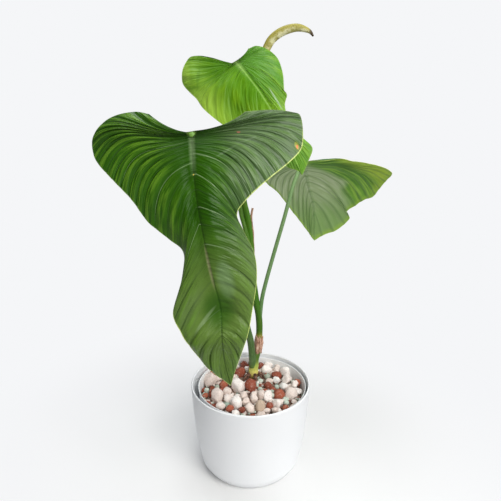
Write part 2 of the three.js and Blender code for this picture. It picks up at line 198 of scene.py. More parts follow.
def node(tree, kind, inputs=(), out=0, stops=(), **settings):
    """Adds one shader node with its settings and links, and gives its output.

    kind is the node's name after ShaderNode. Inputs are values, hex colours or outputs to link.
    """
    made = tree.nodes.new("ShaderNode" + kind)
    for name, value in settings.items():
        setattr(made, name, value)
    for socket, value in dict(inputs).items():
        if isinstance(value, bpy.types.NodeSocket):
            tree.links.new(value, made.inputs[socket])
        else:
            made.inputs[socket].default_value = colour(value) if isinstance(value, str) else value
    for index, (position, code) in enumerate(stops):
        ramp = made.color_ramp.elements
        element = ramp[index] if index < len(ramp) else ramp.new(position)
        element.position = position
        element.color = colour(code)
    return made.outputs[out] if made.outputs else None


def new_material(name):
    """An empty material, and add, which is the function node for its own tree."""
    material = bpy.data.materials.new(name)
    material.use_nodes = True
    material.node_tree.nodes.clear()
    return material, partial(node, material.node_tree)


def faded(add, share, *steps):
    """share times a soft step for each of steps: a value, its low and high, and what it gives at both."""
    for value, low, high, at_low, at_high in steps:
        step = add("MapRange", {0: value, 1: low, 2: high, 3: at_low, 4: at_high}, **SOFT)
        share = add("Math", {0: share, 1: step}, **TIMES)
    return share


def layered(add, shade, layers):
    """The colour shade with layers laid over it in turn, each a share and a colour."""
    for share, code in layers:
        shade = add("Mix", {0: share, 6: shade, 7: code}, **BLEND)
    return shade


def oval(add, place, centre, along, across, soft=0.5):
    """1 inside an oval mark and 0 outside. along and across are its half lengths, all in millimetres."""
    from_centre = add("VectorMath", {0: place, 1: Vector(centre) * MM}, operation="SUBTRACT")
    squares = []
    for half in (Vector(along), Vector(across)):
        out_by = add("VectorMath", {0: from_centre, 1: half / half.length_squared / MM}, out="Value",
                     operation="DOT_PRODUCT")
        squares.append(add("Math", {0: out_by, 1: out_by}, **TIMES))
    reach = add("Math", {0: squares[0], 1: squares[1]}, **PLUS)
    return add("MapRange", {0: reach, 1: 1 - soft, 2: 1 + soft, 3: 1.0, 4: 0.0}, **SOFT)


# Leaves. A leaf lies on a plane: t runs along it from base, where its petiole ends, towards tip, and s
# runs to its own right side, which across points to, as seen from the upper face with the tip down.
# arch      how far its middle stands over the plane
# droop     how far it has sunk 100 mm from the midrib, on the left and on the right
# curl      below which t it bends back, and how fast
# swells    bulges and dents: where (s, t), how far they reach along s and along t, and how high
# midrib    how far the midrib strays to the right, in even steps from base to tip
# channel   how deep the midrib lies, at the base and at the tip
# rows      pairs of side veins: where they leave the midrib (t), where they meet the edge on the left
#           (s, t) and on the right (s, t), and how far the edge falls back there, on the left and right
# furrows   the number that a furrow has at some of the rows
# quilt     how high the blade rises between its veins at some of the rows, on the left and right
# arcs      at some of the rows, how far out the vein turns down on the left, how far down it has come by
#           then, and how many millimetres higher it runs there, and the same three on the right
# wave      how high its broad waves are, and how long
FRONT_LEAF = dict(
    base=(-55.1, -78, 427.1),
    tip=(-20, -112, 179.5),
    across=(1, 0, 0.16),
    arch=24,
    droop=(12, 12),
    curl=(-10, 0.02),
    swells=[(-2, 196, 40, 13, 6), (4, 172, 30, 14, -6), (9, 70, 7, 60, 1.6), (-6, 70, 6, 60, -2.5)],
    midrib=[0, -2, -2.5, -1, 1, 4, 2, -1, 0],
    channel=(0.8, 0.3),
    quilt=[(0, 0.8, 0.8), (3, 2.0, 1.2), (6, 3.0, 1.7), (9, 3.2, 2.2), (10.5, 1.6, 1.6),
           (12, 0.9, 1.0), (14, 2.6, 2.6), (16, 3.4, 3.2), (18, 1.6, 1.6)],
    furrows=[(0, 0), (2, 2), (10, 15), (14, 21), (18, 26)],
    wave=(1.1, 34),
    arcs=[(0, 0.5, 0.2, 0, 0.6, -0.1, 0), (1, 0.6, 0.1, 1, 0.6, 0, 1),
          (2, 0.58, 0.12, 5, 0.6, 0.12, 3), (3, 0.56, 0.12, 9, 0.6, 0.12, 4),
          (4, 0.54, 0.12, 12, 0.6, 0.12, 5.5), (5, 0.54, 0.12, 14, 0.6, 0.12, 7),
          (7, 0.72, 0.25, 10, 0.72, 0.15, 6), (9, 0.84, 0.14, 3, 0.7, 0.2, 3),
          (10, 0.8, 0.16, 0, 0.62, 0.28, 0), (11, 0.6, 0.3, 0, 0.62, 0.28, 0),
          (12, 0.5, 0.42, 0, 0.7, 0.22, 0), (14, 0.55, 0.38, 0, 0.78, 0.25, 0),
          (15, 0.7, 0.4, 0, 0.8, 0.32, 0), (16, 1.0, 0.4, 0, 1.0, 0.36, 0),
          (17, 1.3, 0.42, 0, 1.3, 0.42, 0)],
    rows=[
        (-2.0, -38, -24.1, 52.2, -13.1, 2, 2),
        (-1.2, -53.5, -29.2, 77.6, -11.9, 4, 4),
        (-0.4, -76.1, -27.8, 97.3, -7.3, 4, 4),
        (0.4, -92.4, -17.5, 103.9, -2.8, 3, 2),
        (1.2, -99.5, -3.2, 104, 12, 2, 0),
        (2.2, -95.4, 12.9, 100, 28, 1, 0),
        (4, -83.2, 28.9, 87, 39, 1, 0),
        (7, -72.4, 42.1, 70, 49, 1, 0),
        (12, -62.6, 56.1, 54, 59, 3, 1),
        (22, -52.6, 75.6, 41, 69, 8, 3),
        (38, -36.4, 93.7, 32, 80, 12, 8),
        (60, -23.3, 108.9, 36, 97, 10, 14),
        (84, -28.9, 134.5, 43, 120, 5, 14),
        (110, -41.8, 164.2, 42, 143, 2, 8),
        (136, -38.4, 183.5, 35, 168, 2, 3),
        (174, -30.1, 203, 27, 193, 2, 2),
        (190, -20.4, 225.5, 17, 215, 2, 2),
        (199, -9.3, 241, 7, 236, 1, 1),
    ],
)
UPPER_LEAF = dict(
    base=(-15.6, 15, 496),
    tip=(53, -45, 383.3),
    across=(1, 0, 0.4),
    arch=14,
    droop=(20, 45),
    curl=(-24, 0.02),
    swells=[(-30, 24, 18, 16, 4), (24, 56, 16, 22, 2), (-50, -14, 10, 14, 4)],
    midrib=[0, 3, 5, 5, 3, 0],
    channel=(0.3, 0.1),
    quilt=[(0, 0.8, 0.8), (3, 0.9, 0.6), (6, 0.9, 0.3), (8, 0.9, 0.12), (13, 0.9, 0.1)],
    furrows=[(0, 0), (13, 14)],
    wave=(2.4, 24),
    arcs=[(0, 0.6, 0.6, 0, 0.6, 0.2, 0), (2, 0.6, 0.55, 0, 0.7, 0.2, 0),
          (3, 0.62, 0.5, 0, 0.7, 0.2, 0), (5, 0.78, 0.12, 0, 0.7, 0.2, 0),
          (7, 0.74, 0.2, 0, 0.5, 0.5, 0), (8, 0.7, 0.22, 0, 0.4, 0.55, 0),
          (10, 0.66, 0.25, 0, 0.3, 0.7, 0), (13, 0.5, 0.5, 0, 0.5, 0.5, 0)],
    rows=[
        (-1.5, -24.2, -24.6, 19.2, -8.1, 1, 1),
        (-0.9, -37.9, -39.2, 28.7, -6.7, 2, 2),
        (-0.3, -46.5, -37, 37.4, 1.7, 2, 3),
        (0.3, -57, -25, 40.7, 18.1, 2, 3),
        (1, -61.5, -12.8, 35.9, 40, 1, 4),
        (2, -56.5, 10.4, 27.3, 59.6, 1, 2),
        (4, -54.2, 30.6, 27.1, 65.9, 1, 2),
        (9, -43, 62, 19.7, 75, 2, 3),
        (20, -28, 80, 15, 94, 4, 4),
        (40, -18, 104, 19.6, 112.6, 4, 4),
        (64, -9.4, 129.2, 22.8, 125.9, 2, 3),
        (88, -3.6, 136.5, 12.3, 135.8, 1, 2),
        (114, -0.8, 140.3, 5.4, 141.1, 1, 1),
    ],
)
BACK_LEAF = dict(
    base=(65.5, 85, 378),
    tip=(102.7, 210, 242.5),
    across=(-1, 0, 0),
    arch=26,
    droop=(10, 16),
    curl=(2, 0.03),
    swells=[],
    midrib=[0, -3, -3, -6, -5, 0],
    channel=(0.8, 0.1),
    quilt=[(0, 1.2, 1.2), (5, 1.8, 1.8), (13, 1.6, 1.6)],
    furrows=[(0, 0), (2, 2), (8, 10), (13, 16)],
    wave=(1.6, 30),
    arcs=[(0, 0.35, 1.9, 4, 0.6, 0.5, 0), (1, 0.5, 0.8, 5, 0.7, 0.3, 0),
          (2, 0.55, 0.5, 3, 0.78, 0.12, 0), (4, 0.66, 0.3, 0, 0.78, 0.12, 0),
          (6, 0.76, 0.14, 0, 0.78, 0.12, 0), (9, 0.6, 0.35, 0, 0.7, 0.2, 0),
          (13, 0.6, 0.35, 0, 0.66, 0.25, 0)],
    rows=[
        (-1.5, -44.7, -12.1, 30, -12, 0, 0),
        (-0.9, -69.3, 5.1, 48, -9, 0, 0),
        (-0.3, -98, 26, 62, 2, 0, 0),
        (0.4, -115.9, 47.4, 67, 18, 0, 0),
        (1.2, -110.6, 68.7, 57.8, 35.2, 0, 0),
        (3, -102.6, 90.7, 50.7, 58, 0, 0),
        (7, -93.7, 110.5, 43, 80, 0, 0),
        (14, -81.3, 117, 34, 112, 0, 0),
        (28, -67.3, 130.1, 25.6, 136.4, 0, 0),
        (48, -53.9, 141.5, 17.4, 154.1, 0, 0),
        (74, -58, 155.5, 10.5, 168.5, 0, 0),
        (104, -40, 172.5, 6.5, 177, 0, 0),
        (138, -15, 181.3, 4, 182.5, 0, 0),
    ],
)
CELLS_PER_VEIN = 10              # of the mesh, from furrow to furrow
CELLS_ACROSS = 26                # and from the midrib to the edge
VEIN_DRIFT = 0.14                # how unevenly the side veins are spaced, in rows
PILLOW = 0.62                    # below 1 the veins are narrow furrows between broad pillows
PILLOW_CHANGE = 0.5              # how much one pillow may differ in height from the next
FINE_WAVE = (0.35, 9)            # height and size of the blade's fine unevenness
RUFFLE = 0.7                     # how far the edge waves up and down
MIDRIB_HALF_WIDTH = (2.6, 0.8)   # at the petiole, at the tip
MIDRIB_FLARE = (2.0, 5.0)        # how much wider it starts, and how soon that is gone
MIDRIB_RIB = (2.4, 0.4)          # how far it stands out of the underside, at the petiole, at the tip
MIDRIB_RIB_HALF_WIDTH = 3.2
VEIN_RIB = 0.35                  # how far a side vein stands out of the underside
VEIN_RIB_HALF_WIDTH = 0.8
BLADE_THICKNESS = 0.8
MARGIN_WIDTH = 0.8               # of the last cell, which the pale margin is drawn on
MARGIN_SHARE = 0.55              # of the blade's thickness that is left at the edge
MARGIN_TAPER = 3                 # how far from the edge the blade has its full thickness
MARGIN_CREASE = 55               # degrees: the cut edge keeps its corners
LEAF_LAYERS = ("vein_mm", "rib_mm", "edge_mm", "along_mm", "across_mm")


def furrow_count(leaf):
    return leaf["furrows"][-1][1]


def leaf_plane(leaf):
    """The leaf's base, its directions along, across and up, and its length."""
    base = Vector(leaf["base"])
    along = Vector(leaf["tip"]) - base
    length = along.length
    along.normalize()
    across = Vector(leaf["across"])
    across = (across - along * across.dot(along)).normalized()
    return base, along, across, along.cross(across), length


def leaf_face(leaf, seed):
    """The upper face: points[column, station] from the right edge to the left one."""
    base, along, across, up, length = leaf_plane(leaf)
    tip_row = (length, 0, length, 0, length, 0, 0)
    rows = [np.array(row, float) for row in (*leaf["rows"], tip_row)]
    midrib = [np.array([s], float) for s in leaf["midrib"]]
    arcs = np.array(leaf["arcs"], float)
    quilt = np.array(leaf["quilt"], float)
    last = len(rows) - 1

    # Stations are even from furrow to furrow, but for a slight drift.
    count = furrow_count(leaf)
    at_rows, numbers = zip(*leaf["furrows"])
    stations = np.interp(np.linspace(0, count, count * CELLS_PER_VEIN + 1), numbers, at_rows)
    room = np.gradient(stations) * CELLS_PER_VEIN
    stations += [VEIN_DRIFT * uneven((v, 0, 0), 1.3, seed + 11) * smooth(0, 1, v) * smooth(0, 1, last - v)
                 for v in stations]

    def place(s, t, lift):
        """A point of the upper face, from the leaf's arch, droop, curl, swells and waves."""
        x = max(t, 0) / length
        curl_from, curl_rate = leaf["curl"]
        height = lift + 4 * leaf["arch"] * x * (1 - x)
        height -= leaf["droop"][0 if s < 0 else 1] * (s / 100) ** 2
        height -= curl_rate * max(curl_from - t, 0) ** 2
        for s0, t0, reach_s, reach_t, swell in leaf["swells"]:
            height += swell * math.exp(-((s - s0) / reach_s) ** 2 - ((t - t0) / reach_t) ** 2)
        for (wave, size), wave_seed in ((leaf["wave"], seed), (FINE_WAVE, seed + 3)):
            height += wave * uneven((s, t, 0), size, wave_seed)
        return list(base + across * s + along * t + up * height)

    face = []
    for station, vein in enumerate(stations):
        root, left_s, left_t, right_s, right_t, left_fall, right_fall = through(rows, vein)
        furrow = station / CELLS_PER_VEIN
        x = min(max(root, 0) / length, 1)
        middle = through(midrib, x * (len(midrib) - 1))[0]
        half = mix(*MIDRIB_HALF_WIDTH, x)
        half += MIDRIB_FLARE[0] * math.exp(-max(root + 2, 0) / MIDRIB_FLARE[1])
        half *= min((last - vein) / 0.6, 1)
        pillow = abs(math.sin(math.pi * furrow)) ** PILLOW * room[station] ** 0.7
        pillow *= smooth(0, 1.6, last - vein)
        ruffle = RUFFLE * uneven((vein, 0, 0), 0.7, seed + 5)

        def side(sign, edge_s, edge_t, fall):
            """Points from the midrib to the edge along a curve like a side vein's: -1 is the left side."""
            root_s = middle + sign * half
            first = 1 if sign < 0 else 4
            turn, lead, rise = (np.interp(vein, arcs[:, 0], arcs[:, k]) for k in range(first, first + 3))
            bend_s = root_s + turn * (edge_s - root_s)
            bend_t = root + lead * (edge_t - root)
            inside = 1 - MARGIN_WIDTH / max(math.hypot(edge_s - root_s, edge_t - root), 4)
            full = pillow * np.interp(vein, quilt[:, 0], quilt[:, 1 if sign < 0 else 2])
            full *= 1 + PILLOW_CHANGE * uneven((math.floor(furrow), 3 * sign, 0), 0.37, seed + 9)
            points = []
            for cell in range(1, CELLS_ACROSS + 1):
                w = 1 if cell == CELLS_ACROSS else inside * cell / (CELLS_ACROSS - 1)
                higher = rise * 6.75 * w * w * (1 - w)      # rise itself, two thirds of the way out
                s = (1 - w) ** 2 * root_s + 2 * w * (1 - w) * bend_s + w * w * edge_s
                t = (1 - w) ** 2 * root + 2 * w * (1 - w) * bend_t + w * w * edge_t - higher
                window = smooth(0.06, 0.6, w) * (1 - 0.6 * smooth(0.84, 1, w))     # flat by the midrib
                points.append(place(s, t, full * window - fall * w ** 3 + ruffle * w ** 4))
            return points

        centre = []
        for share in (1, 0.5, 0, -0.5, -1):
            sink = mix(*leaf["channel"], x) * (0.5 + 0.5 * math.cos(math.pi * share))
            centre.append(place(middle + share * half, root, -sink))
        right = side(1, right_s, right_t, right_fall)
        left = side(-1, left_s, left_t, left_fall)
        face.append([*reversed(right), *centre, *left])
    points = np.array(face).transpose(1, 0, 2)
    points[:, -1] = points[CELLS_ACROSS + 2, -1]
    return points


def leaf_blade(part, leaf, seed, skins):
    """A blade with ribs under its veins; skins are its upper skin, underside and margin."""
    points = leaf_face(leaf, seed)
    stations = points.shape[1] - 1
    station = np.arange(stations + 1)
    before = station // CELLS_PER_VEIN * CELLS_PER_VEIN
    after = np.minimum(before + CELLS_PER_VEIN, stations)

    def gap(other):
        return np.linalg.norm(points - other, axis=2)

    vein = np.minimum(gap(points[:, before]), gap(points[:, after]))
    rib = gap(points[CELLS_ACROSS + 2][None])
    edge = np.minimum(np.minimum(gap(points[:1]), gap(points[-1:])), gap(points[:, :1]))
    depth = mix(*MIDRIB_RIB, station / stations)
    depth = depth * (0.5 + 0.5 * np.cos(math.pi * np.clip(rib / MIDRIB_RIB_HALF_WIDTH, 0, 1)))
    depth = depth + VEIN_RIB * np.exp(-(vein / VEIN_RIB_HALF_WIDTH) ** 2) * np.clip(edge / 12, 0, 1)
    base, along, across = (np.array(v) for v in leaf_plane(leaf)[:3])
    piece = sheet(f"{part}_blade", points, vein_mm=vein, rib_mm=rib, edge_mm=edge, rib_depth=depth,
                  along_mm=(points - base) @ along, across_mm=(points - base) @ across)
    weld(piece, outward=False)

    corners = len(piece.data.vertices)
    thickness = piece.vertex_groups.new(name="thickness")
    for corner, distance in zip(piece.data.vertices, piece.data.attributes["edge_mm"].data):
        weight = mix(MARGIN_SHARE, 1, min(distance.value / MARGIN_TAPER, 1))
        thickness.add([corner.index], weight, "REPLACE")
    for skin in skins:
        piece.data.materials.append(skin)
    apply_modifier(piece, "SOLIDIFY", thickness=BLADE_THICKNESS * MM, offset=-1, material_offset=1,
                   material_offset_rim=2, vertex_group="thickness")
    ribs = piece.data.attributes["rib_depth"].data
    for k in range(corners):
        upper, lower = piece.data.vertices[k], piece.data.vertices[k + corners]
        lower.co += (lower.co - upper.co).normalized() * ribs[k].value * MM
    dress(piece, [part], [], MARGIN_CREASE)


# Leaf materials. A leaf's skin is grown: living green tissue under a thin coat of wax.
def leaf_places(add, leaf):
    """A skin's place on its leaf: in metres, in the growth map and by the distances of LEAF_LAYERS."""
    growth = add("UVMap", uv_map="growth")
    column = add("SeparateXYZ", {0: growth}, out="X")
    furrow = add("Math", {0: add("SeparateXYZ", {0: growth}, out="Y"), 1: furrow_count(leaf)}, **TIMES)
    layers = [add("Attribute", out="Fac", attribute_name=label) for label in LEAF_LAYERS]
    return [add("TexCoord", out="Object"), column, furrow, *layers]


def leaf_lanes(add, column, furrow, outward, from_vein_to_vein):
    """Places for a pattern of lanes that run out along the side veins."""
    return add("CombineXYZ", {"X": add("Math", {0: column, 1: outward}, **TIMES),
                              "Y": add("Math", {0: furrow, 1: from_vein_to_vein}, **TIMES)})


def leaf_upper_skin(name, leaf, looks, marks=()):
    """The waxed upper skin: a satin gloss over deep green, with veins in furrows and fine side ribs.

    looks has these, with places in millimetres on the leaf's own plane:
    tissue: three greens, from dark to light, in clouds and in lanes along the veins
    patches: broad changes, each a direction, a colour, where it starts and is full, and how strong it is
    bright, crest: the colour of the pillows' painted highlight and how strong it is on the left and right
    deep, furrow: the colour of the painted shade in the furrows and how strong it is
    vein, pale_vein, band: the colour and strength of the pale veins, and where the pale midrib ends
    rib, rib_share: the colour and strength of the line along the midrib
    margin, hem: the edge's colour, and its strength on the left and on the right, where that changes,
        how far up the leaf it is faint, and where it is strong again towards the tip
    gloss, wax: roughness where it is clean and dusty, and how much it mirrors on the left and the right
    Each of marks is an oval: its centre, half lengths, colour and strength, and how soft its edge is.
    """
    material, add = new_material(name)
    place, column, furrow, vein, rib, edge, along, across = leaf_places(add, leaf)
    cloud = add("TexNoise", {"Vector": place, "Scale": per(34), "Detail": 2.0})
    lanes = leaf_lanes(add, column, furrow, 6.0, 4.0)
    streak = add("TexNoise", {"Vector": lanes, "Scale": 1.0, "Detail": 4.0})
    shade = add("ValToRGB", {"Fac": add("Mix", {0: 0.45, 2: cloud, 3: streak})},
                stops=list(zip((0.34, 0.5, 0.66), looks["tissue"])))
    where = {"along": along, "across": across, "from the midrib": rib}
    layers = [(faded(add, strength, (where[way], low, high, 0.0, 1.0)), code)
              for way, code, low, high, strength in looks["patches"]]

    # A painted highlight where the light would catch one flank of each pillow, away from the midrib, in
    # broken streaks.
    flank = add("Math", {0: furrow}, operation="FRACT")
    crest = faded(add, 1.0, (across, -30.0, 10.0, *looks["crest"]), (flank, 0.04, 0.26, 0.0, 1.0),
                  (flank, 0.42, 0.86, 1.0, 0.0), (streak, 0.38, 0.6, 0.0, 1.0), (rib, 12.0, 40.0, 0.0, 1.0))

    # Most veins lie in furrows darkened with painted shade, no two as dark, and fainter where they crowd
    # together by the petiole. Some carry a pale line, partly the vein's own paler colour and partly a
    # painted highlight on its ridge, that fades out at the margin.
    number = add("Math", {0: furrow}, operation="ROUND")
    half = add("Math", {0: add("Math", {0: column}, operation="ROUND"), 1: 40.0}, **TIMES)
    each = add("TexWhiteNoise", {"W": add("Math", {0: number, 1: half}, **PLUS)}, noise_dimensions="1D")
    deep = add("MapRange", {0: each, 3: looks["furrow"], 4: 0.4 * looks["furrow"]})
    clear = add("MapRange", {0: cloud, 1: 0.35, 2: 0.6, 3: 0.4, 4: 1.0})
    dark = faded(add, add("Math", {0: deep, 1: clear}, **TIMES), (vein, 0.2, 2.0, 1.0, 0.0),
                 (rib, 8.0, 44.0, 0.5, 1.0), (furrow, 0.0, 5.0, 0.4, 1.0))
    pale = faded(add, 1.0, (vein, 0.1, 0.75, 1.0, 0.0), (edge, 2.0, 24.0, 0.0, 1.0),
                 (each, 0.55, 0.9, 0.06, looks["pale_vein"]))

    # The midrib is a line in its channel and, by the petiole, a pale band.
    line = faded(add, looks["rib_share"], (rib, 0.3, 1.2, 1.0, 0.0))
    band = faded(add, 0.4, (along, *looks["band"], 1.0, 0.0), (rib, 1.3, 4.4, 1.0, 0.0))

    # The margin is a pale line of its own, painted stronger as a highlight on the sides that turn up to the
    # light.
    hem_left, hem_right, hem_low, hem_high, hem_top, hem_tip = looks["hem"]
    hem = faded(add, 1.0, (across, hem_low, hem_high, hem_left, hem_right),
                (along, hem_top, hem_top + 22, 0.15, 1.0))
    near_tip = faded(add, 0.9, (along, hem_tip, hem_tip + 50, 0.0, 1.0))
    hem = faded(add, add("Math", {0: hem, 1: near_tip}, operation="MAXIMUM"), (edge, 0.4, 1.35, 1.0, 0.0))

    layers += [(crest, looks["bright"]), (dark, looks["deep"]), (pale, looks["vein"]), (line, looks["rib"]),
               (band, looks["vein"]), (hem, looks["margin"])]
    for centre, mark_along, mark_across, code, strength, *soft in marks:
        inside = oval(add, place, centre, mark_along, mark_across, *soft)
        layers.append((add("Math", {0: inside, 1: strength}, **TIMES), code))
    shade = layered(add, shade, layers)

    # The gloss is a little broken up by dust, over a relief of fine ribs, folds and cells.
    dust = add("TexNoise", {"Vector": place, "Scale": per(9), "Detail": 4.0})
    rough = faded(add, 1.0, (dust, 0.3, 0.75, *looks["gloss"]))
    wax = faded(add, 1.0, (across, -40.0, 60.0, *looks["wax"]), (rib, 4.0, 56.0, 0.35, 1.0))
    relief = add("TexWave", {"Vector": add("CombineXYZ", {"Y": furrow}), "Scale": 0.64}, out="Fac",
                 wave_type="BANDS", bands_direction="Y")
    relief = add("Bump", {"Height": relief, "Distance": 0.10 * MM})
    fold = add("TexNoise", {"Vector": lanes, "Scale": 1.0, "Detail": 1.0})
    relief = add("Bump", {"Height": fold, "Distance": 2.0 * MM, "Normal": relief})
    cells = add("TexNoise", {"Vector": place, "Scale": per(2.4), "Detail": 1.0})     # coarse enough to show
    relief = add("Bump", {"Height": cells, "Distance": 0.04 * MM, "Normal": relief})
    add("OutputMaterial", {"Surface": add("BsdfPrincipled", {
        "Base Color": shade, "Roughness": rough, "IOR": 1.42, "Specular IOR Level": wax,
        "Normal": relief})})
    return material


def leaf_underside(name, leaf, looks):
    """The underside, with hardly any wax: matt, greyer than the upper skin, with raised darker veins.

    looks has tissue as above, tip (a colour, where it starts and is full) and the colours and strengths
    of its vein, hem and margin.
    Where light comes through the blade it has glow, yellow and top, and lit, which lists where the
    shadow that the other leaves throw on it ends: how far along the leaf, how far out to the left.
    """
    material, add = new_material(name)
    place, column, furrow, vein, rib, edge, along, across = leaf_places(add, leaf)
    lanes = leaf_lanes(add, column, furrow, 5.0, 3.0)
    streak = add("TexNoise", {"Vector": lanes, "Scale": 1.0, "Detail": 3.0})
    shade = add("ValToRGB", {"Fac": streak}, stops=list(zip((0.32, 0.5, 0.68), looks["tissue"])))
    tip_code, tip_from, tip_to = looks["tip"]
    layers = [(faded(add, 0.85, (along, tip_from, tip_to, 0.0, 1.0)), tip_code)]
    if "lit" in looks:
        shift = add("TexNoise", {"Vector": place, "Scale": per(22), "Detail": 1.0})
        beyond = add("Math", {0: across, 1: -1.0}, **TIMES)
        beyond = add("Math", {0: beyond, 1: add("MapRange", {0: shift, 3: -5.0, 4: 5.0})}, **PLUS)
        for (low, out_from), (high, out_to) in zip(looks["lit"], looks["lit"][1:]):
            reach = add("MapRange", {0: along, 1: low, 2: high, 3: 0.0, 4: out_from - out_to})
            beyond = add("Math", {0: beyond, 1: reach}, **PLUS)
        glow = add("ValToRGB", {"Fac": streak}, stops=list(zip((0.35, 0.5, 0.65), looks["glow"])))
        outer = faded(add, 0.85, (beyond, 34.0, 58.0, 0.0, 1.0))
        glow = add("Mix", {0: outer, 6: glow, 7: looks["yellow"]}, **BLEND)
        top = faded(add, 0.9, (edge, 1.6, 4.2, 1.0, 0.0), (furrow, 1.3, 2.0, 1.0, 0.0))
        layers += [(faded(add, 0.95, (beyond, -6.0, 9.0, 0.0, 1.0)), glow), (top, looks["top"])]
    layers += [(faded(add, looks["hem_share"], (edge, 1.5, 11.0, 1.0, 0.0)), looks["hem"]),
               (faded(add, looks["vein_share"], (vein, 0.4, 3.4, 1.0, 0.0)), looks["vein"]),
               (faded(add, 0.35, (rib, 1.0, 3.2, 1.0, 0.0)), looks["vein"]),
               (faded(add, 0.8, (edge, 0.25, 1.0, 1.0, 0.0)), looks["margin"])]
    shade = layered(add, shade, layers)
    cells = add("TexNoise", {"Vector": place, "Scale": per(1.3), "Detail": 3.0})
    relief = add("Bump", {"Height": cells, "Distance": 0.06 * MM})
    add("OutputMaterial", {"Surface": add("BsdfPrincipled", {
        "Base Color": shade, "Roughness": 0.6, "IOR": 1.4, "Normal": relief})})
    return material


def leaf_margin(name, thick_code, thin_code):
    """The edge of the leaf, a thin line of cartilage: waxy, and paler where it is thicker."""
    material, add = new_material(name)
    place = add("TexCoord", out="Object")
    thin = add("TexNoise", {"Vector": place, "Scale": per(14), "Detail": 2.0})
    shade = add("Mix", {0: thin, 6: thick_code, 7: thin_code}, **BLEND)
    add("OutputMaterial", {"Surface": add("BsdfPrincipled", {
        "Base Color": shade, "Roughness": 0.45, "IOR": 1.42})})
    return material


